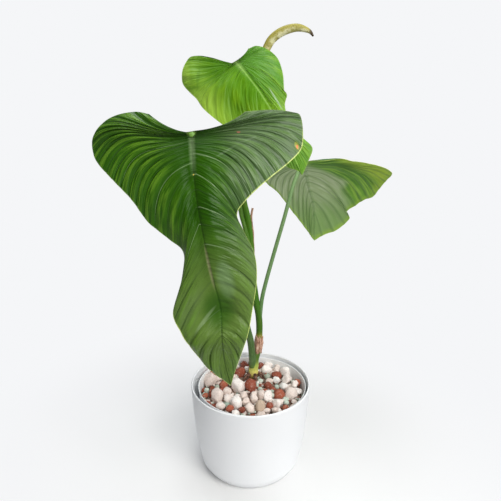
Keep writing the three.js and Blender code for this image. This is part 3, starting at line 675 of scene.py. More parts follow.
def make_leaves():
    front = dict(
        tissue=("#234d00", "#2e5c00", "#3c6e02"), deep="#123202", furrow=0.6,
        bright="#648e24", crest=(0.66, 0.3),
        # Patches of painted light: painted shade over the right half with a painted grey sheen on its outer
        # part,
        # painted shade beside the midrib, a painted sheen over the lower lobe and painted shade along the
        # top.
        patches=[("across", "#2f5218", 4, 44, 0.6), ("across", "#6a8256", 18, 46, 0.45),
                 ("from the midrib", "#20450a", 44, 6, 0.5), ("along", "#6d8840", 72, 158, 0.72),
                 ("along", "#26480e", 14, -6, 0.4)],
        vein="#90aa7a", pale_vein=0.6, band=(14, 44), rib="#1a300a", rib_share=0.55, margin="#d6e684",
        hem=(0.12, 0.9, -8, 16, 6, 118), gloss=(0.27, 0.36), wax=(0.36, 0.46))
    front_below = dict(
        tissue=("#5c7a48", "#64824e", "#6f8c58"), tip=("#5f8440", 120, 240), hem="#7d9c4e", hem_share=0.5,
        vein="#4f6b3c", vein_share=0.5, margin="#b9cc62")
    # A rusty spot and its pale ring, two small scars, two painted glints, the end of the petiole, and the
    # lower lobe's dent: painted shade and painted highlights round it, and a pale streak along the midrib.
    front_marks = [
        ((43.6, -79.6, 415.8), (1.2, -0.3, -3.8), (1.9, 0, 0.7), "#a9b02c", 0.65),
        ((43.8, -79.6, 415.0), (0.5, -0.1, -1.8), (0.9, 0, 0.2), "#f0804a", 1.0),
        ((-11.2, -79.2, 428.5), (1.8, 0, 0), (0, 0.3, 0.7), "#b06c58", 0.9),
        ((-52.7, -94.8, 390.8), (0.7, 0, 0), (0, 0, 0.7), "#c9b552", 0.9),
        ((-2.3, -81.2, 421.9), (7.5, 1.5, 2.2), (-0.3, 0, 0.9), "#8fa682", 0.2, 1.0),
        ((-22.7, -86.8, 411.9), (8.3, 2.1, 4.4), (-0.5, 0, 0.9), "#8fa682", 0.22, 1.0),
        ((-55.4, -77.6, 427.3), (4.4, 0, 0), (0, 1.2, 2.4), "#86ac4a", 0.85),
        ((-30, -118, 268), (14, 0, 0), (0, 0, 18), "#225600", 0.7, 1.0),
        ((-43, -120, 257), (8, 0, 11), (-1.3, 0, 1.0), "#9db488", 0.38, 1.0),
        ((-38, -118, 308), (3.8, 0, -18), (1.4, 0, 0.3), "#8c8866", 0.5, 1.0),
        ((-23, -120, 297), (4, 0, -16), (7, 0, 1.6), "#8ba784", 0.28, 1.0),
        ((-56, -120, 268), (8, 0, 20), (-7, 0, 3), "#8aa470", 0.12, 1.0),
    ]
    upper = dict(
        tissue=("#4c7e00", "#588a00", "#6a9a04"), deep="#326400", furrow=0.34,
        bright="#8fb81c", crest=(0.28, 0.28),
        patches=[("across", "#4c8a1a", -22, 14, 0.6), ("across", "#b0d84e", -22, -56, 0.85),
                 ("along", "#8fba24", 44, 88, 0.55), ("along", "#5f9836", 96, 128, 0.7),
                 ("along", "#3f7a10", 30, -12, 0.6)],
        vein="#9abf68", pale_vein=0.3, band=(4, 30), rib="#98c45e", rib_share=0.6, margin="#d3e08c",
        hem=(0.35, 0.2, -30, 0, -40, 160), gloss=(0.44, 0.54), wax=(0.35, 0.5))
    upper_below = dict(
        tissue=("#7c9c5c", "#84a462", "#8cab68"), tip=("#84a84c", 70, 140), hem="#94b456", hem_share=0.5,
        vein="#6c8c4c", vein_share=0.45, margin="#c3d873")
    # The left lobe's bulge with a painted highlight, painted shade in the hollows round it, and a painted
    # glint.
    upper_marks = [
        ((-70.5, 26.4, 484.5), (5.0, -1.6, 1.6), (-1.4, -2.6, -11.0), "#a9d04e", 0.45, 1.0),
        ((-56.0, 20.6, 480.0), (1.5, -2.5, -9.0), (1.7, -0.5, 0), "#3d7008", 0.4, 1.0),
        ((-66.0, 17.0, 470.5), (7.0, -2.0, 3.0), (0, -0.5, -1.7), "#3d7008", 0.4, 1.0),
        ((26.0, -20.6, 458.3), (7.4, -4.6, -10.3), (0.8, 0, 0.5), "#b7cfae", 0.5),
    ]
    back = dict(
        tissue=("#2f5f18", "#3f7226", "#528432"), deep="#274f12", furrow=0.4,
        bright="#5f9238", crest=(0.4, 0.4), patches=[("across", "#4a7838", -20, 30, 0.6)],
        vein="#93b077", pale_vein=0.35, band=(20, 60), rib="#6f8f4c", rib_share=0.5, margin="#b3c65c",
        hem=(0.6, 0.9, -30, 0, -60, 120), gloss=(0.42, 0.5), wax=(0.4, 0.5))
    back_below = dict(
        tissue=("#a6c084", "#b8cc98", "#cbdab0"), tip=("#7ea656", 70, 165), hem="#9cc440", hem_share=0.7,
        vein="#6c9050", vein_share=0.5, margin="#c8dc70",
        lit=[(-200, 0), (0, 0), (75, 54.7), (94.8, 48.5), (130.4, 60)],
        glow=("#4f8a18", "#6ca82a", "#9ccc40"), yellow="#c0e03e", top="#3c861e")
    for seed, (name, leaf, slot, above, marks, below, margin) in enumerate((
            ("front", FRONT_LEAF, "leaf_dark", front, front_marks, front_below, ("#cbd886", "#9aae4e")),
            ("upper", UPPER_LEAF, "leaf_bright", upper, upper_marks, upper_below, ("#dbe79c", "#b4cc64")),
            ("back", BACK_LEAF, "leaf_back", back, (), back_below, ("#c9d370", "#a4b450"))), start=1):
        leaf_blade(f"leaf_{name}", leaf, seed, [
            leaf_upper_skin(f"{name}_leaf_upper_skin", leaf, above, marks),
            leaf_underside(f"{name}_leaf_underside", leaf, below),
            leaf_margin(f"{name}_leaf_margin", *margin)])


# Stalks: the points that each follows and its radii along the way.
STEM = dict(
    points=[(3.2, 34, 74), (3.8, 34, 104), (4.3, 34, 115), (6.5, 35, 127), (9.6, 36.5, 138),
            (10.9, 37, 149), (11.5, 37.5, 163.5)],
    radii=[5.6, 6.4, 6.8, 5.8, 4.3, 4.1, 4.3])
FRONT_PETIOLE = dict(
    points=[(3, 32, 117), (1.8, 30, 140), (0, 27, 158), (-3.7, 24.5, 175), (-13, 17, 220),
            (-23, 3, 283), (-32.6, -16, 343), (-45.3, -45, 394), (-55, -78.6, 427.0)],
    radii=[4.6, 4.5, 4.4, 4.1, 3.8, 3.5, 3.2, 3.0, 3.0])
SHOOT = dict(
    points=[(11.5, 37.5, 161.8), (11.5, 38, 177), (9.9, 38.5, 194), (6.6, 39, 210), (2.9, 39, 238),
            (0.3, 39, 277), (-1.1, 39, 296), (-4.1, 39, 320), (-8.7, 38.5, 342), (-10.1, 38, 378),
            (-6.3, 35, 435), (3.9, 32, 479), (17.8, 30.5, 512), (22.6, 30, 520), (30, 29, 526),
            (38.7, 28, 530), (49.8, 27, 532), (57.8, 26, 530.5), (64.2, 25, 527.5), (67.6, 24, 523)],
    radii=[4.3, 4.3, 4.3, 4.5, 4.7, 4.5, 4.4, 4.4, 4.4, 4.35, 4.3, 4.15, 4.0, 3.8, 3.6,
           3.35, 3.1, 2.95, 2.8, 2.9, 3.0, 3.3, 3.8, 4.1, 4.4, 4.6, 4.4, 3.4, 0.9])
UPPER_PETIOLE = dict(
    points=[(1.9, 36.5, 248), (-1.1, 34.5, 279), (-4.1, 34, 297), (-8.7, 35, 314), (-11.6, 35, 326),
            (-15.4, 33, 367), (-18.5, 31, 413), (-19.2, 30, 457), (-17.1, 24, 483), (-15.7, 16.5, 495.5)],
    radii=[2.6, 2.6, 2.5, 2.4, 2.5])
BACK_PETIOLE = dict(
    points=[(12, 37.5, 181), (12.9, 38, 195), (15.1, 40, 213), (20.2, 43, 235), (31.8, 50, 277),
            (42.9, 58, 315), (54.5, 70, 355), (64.6, 84.4, 376.9)],
    radii=[2.8, 2.6, 2.5, 2.5, 2.5, 2.6])
DRIED_SLEEVE = dict(
    points=[(9.7, 36.5, 137), (11, 37, 149), (11.5, 37.5, 160)],
    radii=[5.4, 6.2, 5.4])
DRIED_STRIP = dict(
    points=[(11.5, 42.6, 154), (8.5, 44.2, 202), (5.1, 44.8, 250), (3.9, 44.8, 275), (2.6, 44.8, 303),
            (0.9, 44.6, 317), (2.7, 46, 330)],
    radii=[1.3, 1.2, 1.2])
ROOTS = [
    dict(points=[(2, 33, 107), (-5, 28, 106), (-10, 24, 96)], radii=[2.6, 2.0, 1.4]),
    dict(points=[(5, 31, 108), (7, 24, 106), (9, 19, 96)], radii=[2.4, 2.0, 1.4]),
    dict(points=[(7, 34, 108), (15, 32, 106), (20, 30, 96)], radii=[2.4, 1.8, 1.3]),
    dict(points=[(1, 30, 106), (-3, 24, 107), (-3, 17, 98)], radii=[1.2, 1.0, 0.8]),
    dict(points=[(8, 30, 107), (14, 25, 106.5), (17, 19, 97)], radii=[1.1, 0.9, 0.7]),
]
END_PULL = (0.3, 0.25)           # how far a rounded end is drawn in, in spans and in radii
GROOVE_DEPTH = 0.10              # of a petiole's furrow, as a share of its radius
GROOVE_WIDTH = 0.5


def stalk(name, path, sides, rings, form=None, ends=0.82, torn=None):
    """A round stalk with rounded closed ends.

    form(turn, share) is how much fatter or thinner it is at an angle and a share of its length, and
    torn(turn, share) is how far it is drawn out along itself there, in millimetres.
    """
    track = follow(path["points"], rings + 1)
    radii = [np.array([r], float) for r in path["radii"]]
    tangents = np.gradient(track, axis=0)
    tangents /= np.linalg.norm(tangents, axis=1)[:, None]
    side = np.cross(tangents[0], (0, 1, 0))
    points = np.empty((sides + 1, rings + 5, 3))
    order = [0, 0, *range(rings + 1), rings, rings]
    scale = [0, ends, *[1] * (rings + 1), ends, 0]
    span = np.linalg.norm(track[1] - track[0])
    for row, (ring, fat) in enumerate(zip(order, scale)):
        tangent = tangents[ring]
        side = side - tangent * np.dot(side, tangent)
        side /= np.linalg.norm(side)
        other = np.cross(tangent, side)
        share = ring / rings
        radius = through(radii, share * (len(radii) - 1))[0] * fat
        centre = track[ring].copy()
        pull = tangent * min(span * END_PULL[0], radius * END_PULL[1])
        if row == 2:
            centre += pull
        if row == rings + 2:
            centre -= pull
        for k in range(sides + 1):
            turn = math.tau * (k % sides) / sides
            r = radius * (form(turn, share) if form else 1)
            drawn = tangent * (torn(turn, share) if torn and fat else 0)
            points[k, row] = centre + side * (r * math.cos(turn)) + other * (r * math.sin(turn)) + drawn
    piece = sheet(name, points)
    weld(piece)
    return piece


def stalk_skin(name, stops, low_mm, high_mm, flecks, gloss=0.45, mottle=None):
    """Living green stalk, smooth and satin as it grew: its colour goes with height, with fine flecks.

    stops are hex colours from low_mm to high_mm above the floor, flecks a colour and its strength.
    mottle is the height above which an old bract is pale below, brown-speckled on top and dry at its tip.
    """
    material, add = new_material(name)
    place = add("TexCoord", out="Object")
    wander = add("TexNoise", {"Vector": place, "Scale": per(8), "Detail": 2.0})
    wander = add("Math", {0: wander, 1: 8 * MM}, **TIMES)
    height = add("Math", {0: add("SeparateXYZ", {0: place}, out="Z"), 1: wander}, **PLUS)
    share = add("MapRange", {0: height, 1: low_mm * MM, 2: high_mm * MM})
    shade = add("ValToRGB", {"Fac": share}, stops=stops)
    long = add("Mapping", {"Vector": place, "Scale": (1, 1, 0.12)})
    streak = add("TexNoise", {"Vector": long, "Scale": per(1.3), "Detail": 3.0})
    fleck_code, fleck_share = flecks
    fleck = faded(add, fleck_share, (streak, 0.52, 0.68, 0.0, 1.0))
    layers = [(fleck, fleck_code)]
    if mottle:
        above = (height, mottle * MM, (mottle + 16) * MM, 0.0, 1.0)
        up = add("SeparateXYZ", {0: add("NewGeometry", out="Normal")}, out="Z")
        patch = add("TexNoise", {"Vector": place, "Scale": per(6), "Detail": 3.0})
        spot = add("TexNoise", {"Vector": place, "Scale": per(1.9), "Detail": 2.0})
        to_the_tip = add("SeparateXYZ", {0: place}, out="X")
        bleached = faded(add, 1.0, (up, -0.35, 0.35, 1.0, 0.0), (patch, 0.40, 0.58, 0.15, 0.85), above)
        layers += [
            (bleached, "#efebbc"),
            (faded(add, 0.6, (spot, 0.56, 0.66, 0.0, 1.0), above), "#6f5a2a"),
            (faded(add, 1.0, (to_the_tip, 61.5 * MM, 65.5 * MM, 0.0, 1.0)), "#4a3a22")]
    shade = layered(add, shade, layers)
    rough = add("MapRange", {0: fleck, 1: 0.0, 2: 1.0, 3: gloss, 4: gloss + 0.15})
    grooves = add("TexNoise", {"Vector": long, "Scale": per(1.8), "Detail": 3.0})
    relief = add("Bump", {"Height": grooves, "Distance": 0.10 * MM})
    add("OutputMaterial", {"Surface": add("BsdfPrincipled", {
        "Base Color": shade, "Roughness": rough, "IOR": 1.42, "Normal": relief})})
    return material


def dull_skin(name, stops, lumps, grain, rough, ior=1.4, upright=1.0):
    """A dull skin: its colour goes with one unevenness, and a finer one is its relief.

    lumps are their size in millimetres and how ragged they are, grain its size, detail and depth.
    Where upright is below 1 both are drawn out along Z.
    """
    material, add = new_material(name)
    place = add("Mapping", {"Vector": add("TexCoord", out="Object"), "Scale": (1, 1, upright)})
    size, ragged = lumps
    cloud = add("TexNoise", {"Vector": place, "Scale": per(size), "Detail": 4.0, "Roughness": ragged})
    shade = add("ValToRGB", {"Fac": cloud}, stops=stops)
    size, detail, depth = grain
    relief = add("TexNoise", {"Vector": place, "Scale": per(size), "Detail": detail})
    relief = add("Bump", {"Height": relief, "Distance": depth * MM})
    add("OutputMaterial", {"Surface": add("BsdfPrincipled", {
        "Base Color": shade, "Roughness": rough, "IOR": ior, "Normal": relief})})
    return material


def make_stalks():
    def groove(at):
        """A stalk that is round but for one furrow along it."""
        def form(turn, share):
            off = (turn - at + math.pi) % math.tau - math.pi
            return 1 - GROOVE_DEPTH * math.exp(-(off / GROOVE_WIDTH) ** 2)
        return form

    def wrapped(turn, share):
        """The shoot is rolled up in its bract, whose free edge shows as a step along it."""
        edge = (turn - 1.1 - 1.6 * share) % math.tau / math.tau
        return 1.04 - 0.10 * edge + 0.03 * math.sin(2 * turn + 9 * share)

    def ringed(turn, share):
        return 1 + 0.04 * math.sin(40 * share)

    front_skin = stalk_skin(
        "front_stalk_skin", [(0.0, "#c3c84f"), (0.03, "#7f9a45"), (0.07, "#4f6f3a"), (0.5, "#47682f"),
                             (1.0, "#6f9a3e")],
        104, 430, ("#8ba37a", 0.3))
    upper_skin = stalk_skin(
        "upper_stalk_skin", [(0.0, "#467212"), (0.4, "#56851e"), (1.0, "#7ca646")],
        250, 495, ("#94b36c", 0.25))
    back_skin = stalk_skin(
        "back_stalk_skin", [(0.0, "#4a7430"), (0.25, "#6b8f58"), (1.0, "#75965e")],
        180, 376, ("#9db58f", 0.25))
    bract_skin = stalk_skin(
        "shoot_bract_skin", [(0.0, "#8c8a2c"), (0.03, "#3f6a0e"), (0.2, "#3c720a"), (0.45, "#4a8210"),
                             (0.8, "#9a9c3c"), (0.97, "#a8a048")],
        162, 530, ("#6f6a26", 0.35), gloss=0.5, mottle=470)
    stem_skin = stalk_skin(
        "stem_skin", [(0.0, "#6e4a30"), (0.15, "#8f7440"), (0.26, "#e2dc78"), (0.38, "#b4c458"),
                      (0.5, "#4f7a2a"), (0.8, "#5d6a34"), (1.0, "#8c8a3c")],
        98, 164, ("#8a7a4a", 0.4))
    for part, path, sides, rings, form, slot, skin in (
            ("petiole_front", FRONT_PETIOLE, 28, 150, groove(2.0), "petiole", front_skin),
            ("petiole_upper", UPPER_PETIOLE, 24, 110, groove(2.0), "petiole", upper_skin),
            ("petiole_back", BACK_PETIOLE, 24, 110, groove(1.2), "petiole", back_skin),
            ("young_shoot", SHOOT, 32, 300, wrapped, "shoot", bract_skin),
            ("stem", STEM, 32, 60, ringed, "stem", stem_skin)):
        dress(stalk(f"{part}_stalk", path, sides, rings, form), [part], [skin])

    # Living root bark, grown: dull brown cork, lumpy and dry to the eye.
    bark = dull_skin("dry_root_bark", [(0.3, "#3b2a22"), (0.5, "#6b4a3c"), (0.7, "#8a6a58")], (3, 0.5),
                     (1.5, 4.0, 0.3), 0.8)

    def corky(turn, share):
        return 1 + 0.14 * uneven((math.cos(turn), math.sin(turn), 9 * share), 0.8, 4)

    for index, path in enumerate(ROOTS):
        dress(stalk(f"root_{index + 1}", path, 14, 26, corky), ["stem"], [bark])

    # The dried bract is a leaf's sheath that withered on the plant: matt, papery, with pale and brown
    # fibres along it. It is wrinkled along its length and torn at its ends.
    paper = dull_skin("dried_bract_paper",
                      [(0.3, "#5a3a2c"), (0.42, "#a87a64"), (0.55, "#cfa68e"), (0.72, "#e6cdb8")],
                      (2.2, 0.65), (1.2, 4.0, 0.35), 0.75, upright=0.3)

    def wrinkled(turn, share):
        folds = 0.10 * math.sin(7 * turn + 2 * share)
        folds += 0.16 * uneven((2 * math.cos(turn), 2 * math.sin(turn), 3 * share), 0.8, 6)
        return 0.9 + folds + 0.12 * smooth(0.75, 1, share) * math.sin(3 * turn)

    def ragged(turn, share):
        tear = 3.4 * uneven((math.cos(turn), math.sin(turn), 0), 0.45, 3) + 1.2 * math.sin(5 * turn)
        return tear * (smooth(0.5, 1, share) - 1.2 * smooth(0.5, 0, share))

    def folded(turn, share):
        return 0.62 + 0.5 * abs(math.cos(turn)) + 0.12 * math.sin(60 * share) * math.cos(turn)

    sleeve = stalk("dried_bract_sleeve", DRIED_SLEEVE, 48, 30, wrinkled, 0.9, ragged)
    dress(sleeve, ["dried_bract"], [paper])
    strip = stalk("dried_bract_strip", DRIED_STRIP, 16, 120, folded)
    dress(strip, ["dried_bract"], [paper])


# The planter and its liner, turned from half outlines of radius and height.
PLANTER_HEIGHT = 116
PLANTER_WALL = 2.2
LINER_HEIGHT = 112
LINER_WALL = 1.3
LINER_SHIFT = 2


def planter_outside(z):
    share = z / PLANTER_HEIGHT
    return mix(61, 75, share) + 3.2 * math.sin(math.pi * share ** 0.8)


def liner_outside(z):
    return mix(54, 68.3, ((z - 3) / (LINER_HEIGHT - 3)) ** 0.8)


def turned(name, outline, steps=112, shift=0):
    """A round body spun from an outline of radius and height that is drawn point by point."""
    bpy.ops.object.select_all(action="DESELECT")
    bpy.ops.mesh.primitive_plane_add(size=MM, location=(0, 0, 0))
    piece = bpy.context.object
    piece.name = name
    edit(piece)
    bpy.ops.mesh.merge(type="CENTER")
    radius, height = outline[0]
    bpy.ops.transform.translate(value=(radius * MM, 0, height * MM))
    for (radius, height), (next_radius, next_height) in zip(outline, outline[1:]):
        move = ((next_radius - radius) * MM, 0, (next_height - height) * MM)
        bpy.ops.mesh.extrude_vertices_move(TRANSFORM_OT_translate={"value": move})
    bpy.ops.mesh.select_all(action="SELECT")
    bpy.ops.mesh.spin(steps=steps, angle=math.tau, center=(0, 0, 0), axis=(0, 0, 1))
    close_edit()
    weld(piece)
    piece.data.transform(Matrix.Translation((shift * MM, 0, 0)))
    return piece


def make_pot():
    # Polypropylene, injection-moulded: white, faintly satin, with no texture but a trace of unevenness
    # in its polish. Its colour drifts less than the eye can name, and its grain is drawn coarse to show.
    plastic, add = new_material("white_moulded_polypropylene")
    place = add("TexCoord", out="Object")
    cloud = add("TexNoise", {"Vector": place, "Scale": per(45), "Detail": 2.0})
    shade = add("Mix", {0: cloud, 6: "#f0f2f5", 7: "#f4f5f7"}, **BLEND)
    polish = add("TexNoise", {"Vector": place, "Scale": per(12), "Detail": 3.0})
    rough = faded(add, 1.0, (polish, 0.3, 0.7, 0.36, 0.44))
    skin = add("TexNoise", {"Vector": place, "Scale": per(0.8), "Detail": 2.0})
    relief = add("Bump", {"Height": skin, "Distance": 0.012 * MM})
    add("OutputMaterial", {"Surface": add("BsdfPrincipled", {
        "Base Color": shade, "Roughness": rough, "IOR": 1.49, "Normal": relief})})
    outer = [(planter_outside(z), z) for z in np.linspace(11, 113.6, 24)]
    inner = [(planter_outside(z) - PLANTER_WALL, z) for z in np.linspace(113.2, 9, 20)]
    foot = [(0, 1.2), (48, 1.2), (49.5, 0.8), (50.4, 0), (52.5, 0), (55, 0.5), (57.4, 1.8), (59.3, 4),
            (60.6, 7)]
    lip = [(planter_outside(115) - 0.05, 115), (planter_outside(115) - 0.35, 115.7), (74.0, 116),
           (73.4, 116), (73.0, 115.7), (72.75, 115)]
    well = [(58.2, 7), (54.6, 4), (50, 3), (0, 3)]
    planter = turned("outer_planter_shell", [*foot, *outer, *lip, *inner, *well])
    dress(planter, ["outer_planter"], [plastic])

    # Thin polypropylene, moulded with a fine matt skin: milky grey, dulled by dust and water marks.
    milky = dull_skin("milky_thin_moulded_liner", [(0.35, "#e9ebec"), (0.65, "#f2f3f4")], (16, 0.5),
                      (2.5, 3.0, 0.04), 0.42, ior=1.49)
    outer = [(liner_outside(z), z) for z in np.linspace(12, 111, 22)]
    inner = [(liner_outside(z) - LINER_WALL, z) for z in np.linspace(111, 10, 20)]
    foot = [(0, 3.3), (48, 3.3), (51.6, 4.6), (53.9, 8)]
    rim = [(68.25, 111.6), (68.0, 112), (67.4, 112), (67.1, 111.6)]
    well = [(50.6, 6.4), (47.4, 4.6), (0, 4.6)]
    liner = turned("inner_liner_shell", [*foot, *outer, *rim, *inner, *well], shift=LINER_SHIFT)
    dress(liner, ["inner_liner"], [milky])


# The substrate: the stones that the photograph shows, by place, half width, half height and kind,
# with seeded stones and grains between and under them.
STONES = [
    (-54, 21, 7.6, 9.2, "pumice"), (-54, 38, 6.1, 5.0, "clay"), (-44, 26, 6.5, 4.6, "pumice"),
    (-35, 10, 5.0, 5.3, "clay"), (-42, -16, 7.6, 9.7, "pumice"), (-30, -5, 5.2, 4.7, "pumice"),
    (-16, 8, 8.6, 10.2, "pumice"), (-14, 41, 6.7, 7.9, "clay"), (-9, 60, 5.2, 5.2, "clay"),
    (14, 58, 4.4, 4.6, "clay"), (-6, 51, 3.6, 3.4, "pumice"), (0, 7, 6.9, 9.2, "clay"),
    (23, 9, 4.5, 4.5, "clay"), (36, -12, 6.9, 6.7, "clay"), (35, 34, 6.6, 4.6, "clay"),
    (61, 16, 4.2, 4.4, "clay"), (23, -36, 4.2, 4.4, "clay"), (-25, -40, 4.8, 3.6, "clay"),
    (-10, -43, 4.2, 3.4, "clay"), (-18, -30, 8.0, 8.5, "pumice"), (-28, -21, 5.0, 5.8, "pumice"),
    (-8, -14, 5.1, 5.1, "pumice"), (-5, -27, 5.7, 4.6, "pumice"), (4, -21, 4.6, 6.4, "pumice"),
    (-1, -40, 7.1, 5.9, "pumice"), (12, -37, 5.7, 7.4, "tan"), (14, -13, 5.6, 5.9, "pumice"),
    (21, -15, 6.1, 7.4, "pumice"), (33, -31, 5.5, 5.5, "pumice"), (51, -10, 8.6, 8.2, "pumice"),
    (42, 7, 4.8, 4.4, "white"), (48, 24, 6.6, 6.5, "pumice"), (57, 12, 4.8, 5.6, "pumice"),
    (34, 22, 4.3, 4.3, "white"), (25, 19, 5.4, 4.0, "pumice"), (48, 44, 7.0, 6.2, "pumice"),
    (22, 48, 7.6, 6.2, "pumice"), (35, 48, 5.3, 5.1, "pumice"), (25, 61, 6.6, 4.7, "pumice"),
    (38, 56, 4.4, 3.8, "pumice"), (22, 31, 4.4, 3.8, "green"), (-43, 5, 3.4, 3.4, "green"),
    (8, 10, 3.0, 2.9, "zeolite"), (12, 1, 3.0, 2.8, "zeolite"), (13, 20, 3.6, 2.8, "zeolite"),
    (9, 62, 3.6, 2.8, "zeolite"), (34, 6, 3.2, 3.2, "zeolite"), (27, -5, 3.1, 2.8, "zeolite"),
    (28, -13, 2.8, 2.7, "zeolite"), (-36, -34, 5.4, 4.2, "pumice"), (-56, -2, 3.0, 3.3, "zeolite"),
    (44, -28, 3.0, 3.0, "zeolite"), (29, -43, 3.9, 3.2, "pumice"), (-30, 40, 7.0, 6.4, "pumice"),
    (-36, 52, 6.2, 5.6, "clay"), (-22, 55, 6.4, 5.4, "pumice"), (-28, 24, 6.2, 6.0, "pumice"),
    (2, 66, 4.8, 4.2, "tan"),
]
STONE_LEVEL = 103.0
STEM_PLACE = (3.8, 34.0)
GROUND_LEVEL = 97.0
GROUND_RISE = (4, 34)            # how high the bed rises round the stem, and how far that reaches
BED_GAP = 0.4                    # between the bed and the liner's wall
BED_RINGS, BED_SIDES = 46, 96
SUNK = 1.12                      # how much bigger a stone is than what shows of it
STONE_SIZES = (4.0, 7.6)
STONE_LAYERS = ((98.5, 101, 900), (94, 97, 1500))      # lowest and highest middle, and how many are tried
STONE_OVERLAP = 0.8              # stones may lie this much closer than they would as balls
STEM_ROOM = 8                    # kept free round the stem
STONE_ROOM = (0.9, 0.6)          # shares of its size that a stone stays off the wall and that room
FLAT_DEPTHS = (0.66, 0.9)        # of the flats worn on a stone, from its middle, in its radii
FLAT_WEAR = 0.92                 # the share of what stands proud of a flat that is worn off
STONE_LUMPS = ((1, 1.7), (0.35, 5))        # a stone's unevenness: its share, and how fine it is
BED_LUMPS = ((1.3, 5, 8), (0.6, 1.8, 9))   # the bed's: its height and size, and its seed
CRUMB_SIZES = (0.9, 2.3)
CRUMBS_TRIED = 620
CRUMB_REACH = 64.5
COMMON_KINDS = ("pumice", "clay", "zeolite")
STONE_SHARES = (0.6, 0.24, 0.16)
CRUMB_SHARES = (0.45, 0.15, 0.4)

# Each kind of stone: its material, colours, pores (size, depth and the colour of painted shade in them) and
# dust, and its forms (how many, their seed, how many flats are worn on them, how uneven they are, and how
# fine their mesh is).
STONE_KINDS = {
    # Pumice, a glass foam broken and tumbled: matt, from off-white to pinkish or tan, with open pores.
    "pumice": dict(material="dusty_pumice", stops=[(0.2, "#dccac0"), (0.45, "#e9dcd4"), (0.7, "#f3ece7")],
                   pores=(1.6, 0.5, "#a08a7e"), forms=(6, 20, 11, 0.16, 3)),
    "white": dict(material="white_pumice", stops=[(0.2, "#e8e5e1"), (0.7, "#f5f3f0")],
                  pores=(1.8, 0.4, "#b0aaa4"), forms=(1, 30, 10, 0.2, 3)),
    "tan": dict(material="tan_pumice", stops=[(0.2, "#b39a86"), (0.7, "#c8b4a0")],
                pores=(1.2, 0.4, "#7d6a5c"), forms=(1, 31, 5, 0.08, 3)),
    # Clay, rolled into balls and fired: brick red, closely pitted, with pale dust on it.
    "clay": dict(material="fired_clay", stops=[(0.2, "#7c3a28"), (0.5, "#964a34"), (0.8, "#a85c42")],
                 pores=(1.1, 0.35, "#4b2018"), dust=0.35, forms=(3, 40, 2, 0.10, 3)),
    # Zeolite, crushed rock: chips with many flats, pale green or grey-green, and dull.
    "zeolite": dict(material="green_zeolite", stops=[(0.2, "#9fb0a2"), (0.6, "#bccabd"), (0.8, "#cfd9cc")],
                    pores=(1.4, 0.25, "#76887a"), forms=(3, 50, 9, 0.12, 2)),
    "green": dict(material="grey_green_zeolite", stops=[(0.2, "#8d9888"), (0.7, "#a9b2a2")],
                  pores=(1.4, 0.25, "#6c7868"), forms=(1, 60, 9, 0.12, 2)),
}


def from_stem(x, y):
    return math.hypot(x - STEM_PLACE[0], y - STEM_PLACE[1])


def ground(x, y):
    """Height of the bed, which rises a little round the stem."""
    rise, reach = GROUND_RISE
    return GROUND_LEVEL + rise * math.exp(-(from_stem(x, y) / reach) ** 2)


def pebble(name, seed, flats, rough, fine):
    """A stone of about unit radius: a ball with flats worn on it and an uneven skin."""
    chance = random.Random(seed)
    bpy.ops.object.select_all(action="DESELECT")
    bpy.ops.mesh.primitive_ico_sphere_add(subdivisions=fine, radius=1)
    piece = bpy.context.object
    piece.name = name
    faces = []
    for _ in range(flats):
        way = Vector([chance.gauss(0, 1) for _ in range(3)]).normalized()
        faces.append((way, chance.uniform(*FLAT_DEPTHS)))
    for corner in piece.data.vertices:
        place = corner.co.copy()
        for way, depth in faces:
            proud = place.dot(way) - depth
            if proud > 0:
                place -= way * proud * FLAT_WEAR
        for (share, fineness), start in zip(STONE_LUMPS, ((seed, 0, 0), (0, seed, 0))):
            place *= 1 + share * rough * noise.noise(corner.co * fineness + Vector(start))
        corner.co = place
    piece.data.update()
    return piece


def copies(name, shapes, stones, chance):
    """One mesh of stones: each is a copy of a shape, sized, turned and put in its place."""
    made = []
    for index, (x, y, z, wide, deep, high) in enumerate(stones):
        shape = shapes[index % len(shapes)]
        stone = shape.copy()
        stone.data = shape.data.copy()
        bpy.context.collection.objects.link(stone)
        turn = Euler([chance.uniform(0, math.tau) for _ in range(3)]).to_matrix().to_4x4()
        size = Matrix.Diagonal((wide * MM, deep * MM, high * MM, 1))
        stone.data.transform(Matrix.Translation(Vector((x, y, z)) * MM) @ size @ turn)
        tint = stone.data.attributes.new(name="tint", type="FLOAT", domain="POINT")
        tint.data.foreach_set("value", np.full(len(stone.data.vertices), chance.random(), np.float32))
        made.append(stone)
    bpy.ops.object.select_all(action="DESELECT")
    for stone in made:
        stone.select_set(True)
    bpy.context.view_layer.objects.active = made[0]
    bpy.ops.object.join()
    piece = bpy.context.object
    piece.name = name
    return piece


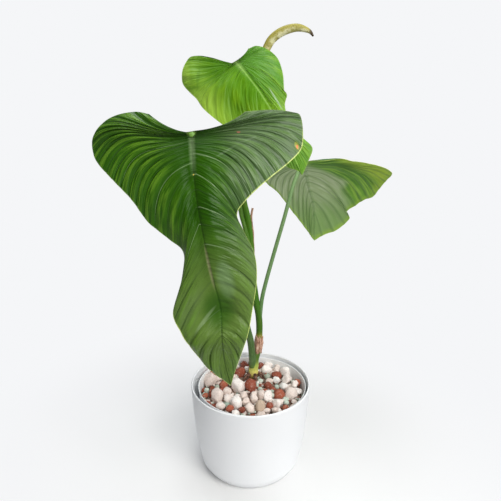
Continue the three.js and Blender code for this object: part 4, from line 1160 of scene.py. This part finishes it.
def stone_skin(name, stops, pore_mm, pore_depth, pore_shade_code, dust):
    """Dry mineral: matt, each stone in its own tone, with pores darkened by painted shade and a bloom of
    pale dust.
    """
    material, add = new_material(name)
    place = add("TexCoord", out="Object")
    tint = add("Attribute", out="Fac", attribute_name="tint")
    lumps = add("TexNoise", {"Vector": place, "Scale": per(3.5), "Detail": 4.0, "Roughness": 0.6})
    shade = add("ValToRGB", {"Fac": add("Mix", {0: 0.4, 2: tint, 3: lumps})}, stops=stops)
    pitted = add("TexNoise", {"Vector": place, "Scale": per(pore_mm), "Detail": 3.0, "Roughness": 0.6})
    # The pits are darkened with painted shade.
    layers = [(faded(add, 0.5, (pitted, 0.30, 0.44, 1.0, 0.0)), pore_shade_code)]
    if dust:
        bloom = add("TexNoise", {"Vector": place, "Scale": per(2.4), "Detail": 4.0, "Roughness": 0.7})
        layers.append((faded(add, dust, (bloom, 0.5, 0.7, 0.0, 1.0)), "#d8c4b8"))
    shade = layered(add, shade, layers)
    relief = add("Bump", {"Height": pitted, "Distance": pore_depth * MM})
    grit = add("TexNoise", {"Vector": place, "Scale": per(0.5), "Detail": 2.0})
    relief = add("Bump", {"Height": grit, "Distance": 0.05 * MM, "Normal": relief})
    add("OutputMaterial", {"Surface": add("BsdfPrincipled", {
        "Base Color": shade, "Roughness": 0.9, "IOR": 1.5, "Normal": relief})})
    return material


def make_substrate():
    chance = random.Random(11)
    by_kind = {kind: [] for kind in STONE_KINDS}
    taken = []
    for x, y, wide, high, kind in STONES:
        by_kind[kind].append((x, y, STONE_LEVEL, wide * SUNK, max(high, 0.8 * wide) * SUNK, high * SUNK))
        taken.append((x, y, STONE_LEVEL, (wide + high) / 2))

    def free(x, y, z, size):
        wall, stem = (size * share for share in STONE_ROOM)
        if math.hypot(x - LINER_SHIFT, y) > liner_outside(z) - LINER_WALL - wall:
            return False
        if from_stem(x, y) < STEM_ROOM + stem:
            return False
        return all(math.dist((x, y, z), place[:3]) > STONE_OVERLAP * (size + place[3]) for place in taken)

    # Stones of the same size fill what is left of the top layer and lie under it.
    for low, high, tries in STONE_LAYERS:
        for _ in range(tries):
            size = chance.uniform(*STONE_SIZES)
            x, y = chance.uniform(-68, 70), chance.uniform(-68, 68)
            z = chance.uniform(low, high)
            if free(x, y, z, size):
                kind = chance.choices(COMMON_KINDS, STONE_SHARES)[0]
                half_depth, half_height = size * chance.uniform(0.75, 1), size * chance.uniform(0.7, 1)
                by_kind[kind].append((x, y, z, size, half_depth, half_height))
                taken.append((x, y, z, size))

    # Crumbs lie in the gaps.
    crumbs = {kind: [] for kind in COMMON_KINDS}
    for _ in range(CRUMBS_TRIED):
        size = chance.uniform(*CRUMB_SIZES)
        turn, reach = chance.uniform(0, math.tau), CRUMB_REACH * math.sqrt(chance.random())
        x, y = LINER_SHIFT + reach * math.cos(turn), reach * math.sin(turn)
        if from_stem(x, y) > STEM_ROOM - 1:
            kind = chance.choices(COMMON_KINDS, CRUMB_SHARES)[0]
            z = ground(x, y) + chance.uniform(0.4, 3.2)
            half_depth, half_height = size * chance.uniform(0.6, 1), size * chance.uniform(0.6, 1)
            crumbs[kind].append((x, y, z, size, half_depth, half_height))

    skins, forms = {}, {}
    for kind, looks in STONE_KINDS.items():
        skins[kind] = stone_skin(looks["material"], looks["stops"], *looks["pores"], looks.get("dust", 0))
        count, seed, flats, rough, fine = looks["forms"]
        forms[kind] = [pebble(f"{kind}_form_{k}", seed + k, flats, rough, fine) for k in range(count)]
    grit = [pebble(f"grit_form_{k}", 70 + k, 6, 0.2, 1) for k in range(4)]
    for kind, stones in by_kind.items():
        piece = copies(f"substrate_{kind}_stones", forms[kind], stones, chance)
        dress(piece, ["substrate"], [skins[kind]])
    for kind, stones in crumbs.items():
        piece = copies(f"substrate_{kind}_crumbs", grit, stones, chance)
        dress(piece, ["substrate"], [skins[kind]], crease=30)
    for form in sum(forms.values(), grit):
        bpy.data.objects.remove(form)

    # The bed under them: the filled liner, with a crumbly top.
    points = np.empty((BED_SIDES + 1, BED_RINGS + 4, 3))
    for k in range(BED_SIDES + 1):
        turn = math.tau * (k % BED_SIDES) / BED_SIDES
        for row in range(BED_RINGS + 1):
            reach = (liner_outside(GROUND_LEVEL) - LINER_WALL - BED_GAP) * row / BED_RINGS
            x, y = LINER_SHIFT + reach * math.cos(turn), reach * math.sin(turn)
            crumbly = sum(high * uneven((x, y, 0), size, seed) for high, size, seed in BED_LUMPS)
            points[k, row] = (x, y, ground(x, y) + crumbly * min(row / 3, 1))
        for row, (reach, z) in enumerate(((66.3, 90), (51, 5.2), (0, 5.2)), start=BED_RINGS + 1):
            reach = min(reach, liner_outside(max(z, 6)) - LINER_WALL - BED_GAP)
            points[k, row] = (LINER_SHIFT + reach * math.cos(turn), reach * math.sin(turn), z)
    bed = sheet("substrate_bed", points)
    weld(bed)
    # Fines of the same minerals, sifted down between the stones: dark, loose, speckled pale and green.
    fines = dull_skin("substrate_fines",
                      [(0.3, "#4d3c34"), (0.5, "#7b6458"), (0.65, "#a3907f"), (0.8, "#b0b8a8")],
                      (2.2, 0.7), (1.4, 4.0, 0.8), 0.95, ior=1.5)
    dress(bed, ["substrate"], [fines])


# Light, floor and camera.
def soft_light(name, place, target, size, watts, tint):
    """A square soft box at place, turned to face target; both in metres."""
    bpy.ops.object.light_add(type="AREA", location=place)
    lamp = bpy.context.object
    lamp.name = name
    lamp.rotation_euler = (Vector(target) - Vector(place)).to_track_quat("-Z", "Y").to_euler()
    lamp.data.shape = "SQUARE"
    lamp.data.size = size
    lamp.data.energy = watts
    lamp.data.color = colour(tint)[:3]


BACKDROP = "#f5f6f8"


def make_studio():
    soft_light("window", (0.61, -1.19, 1.35), (0, 0, 0.32), 1.1, 24, "#fffdf8")
    soft_light("top_fill", (-0.1, 0.4, 2.2), (0, 0, 0.2), 1.4, 21, "#fbfdff")

    # The room: it lights the plant more from the window's side, and looks the same all over.
    world = bpy.data.worlds.new("white_room")
    bpy.context.scene.world = world
    world.use_nodes = True
    world.node_tree.nodes.clear()
    add = partial(node, world.node_tree)
    east = add("SeparateXYZ", {0: add("TexCoord", out="Generated")}, out="X")
    seen = add("LightPath", out="Is Camera Ray")
    lit = faded(add, 1.0, (east, -0.5, 0.9, 0.20, 0.80))
    strength = add("Mix", {0: seen, 2: lit, 3: 1.0})
    shade = add("Mix", {0: seen, 6: "#f2f5f8", 7: BACKDROP}, **BLEND)
    add("OutputWorld", {"Surface": add("Background", {"Color": shade, "Strength": strength})})

    # Matt white paint, rolled: it takes the plant's soft shadow and goes over into the backdrop.
    bpy.ops.mesh.primitive_circle_add(vertices=128, radius=30, fill_type="NGON", location=(0, 0, 0))
    floor = bpy.context.object
    floor.name = "pale_floor"
    painted, add = new_material("pale_floor_paint")
    place = add("TexCoord", out="Object")
    cloud = add("TexNoise", {"Vector": place, "Scale": per(400), "Detail": 2.0})
    shade = add("Mix", {0: cloud, 6: "#ececec", 7: "#f0f0f0"}, **BLEND)
    shader = add("BsdfPrincipled", {"Base Color": shade, "Roughness": 0.7})
    away = add("VectorMath", {0: place}, out="Value", operation="LENGTH")
    away = faded(add, 1.0, (away, 0.05, 0.45, 0.0, 1.0))
    bright = add("Mix", {0: add("LightPath", out="Is Camera Ray"), 2: 0.4, 3: 1.0})
    glow = add("Emission", {"Color": BACKDROP, "Strength": bright})
    add("OutputMaterial", {"Surface": add("MixShader", {0: away, 1: shader, 2: glow})})
    floor.data.materials.append(painted)


def make_camera():
    bpy.ops.object.camera_add(location=CAMERA_PLACE, rotation=(CAMERA_PITCH, 0, 0))
    camera = bpy.context.object
    camera.data.lens = CAMERA_LENS
    camera.data.sensor_width = CAMERA_SENSOR
    camera.data.clip_start = 0.01
    camera.data.clip_end = 100
    bpy.context.scene.camera = camera
    bpy.context.scene.view_settings.view_transform = "Standard"


make_camera()
make_pot()
make_substrate()
make_stalks()
make_leaves()
make_studio()
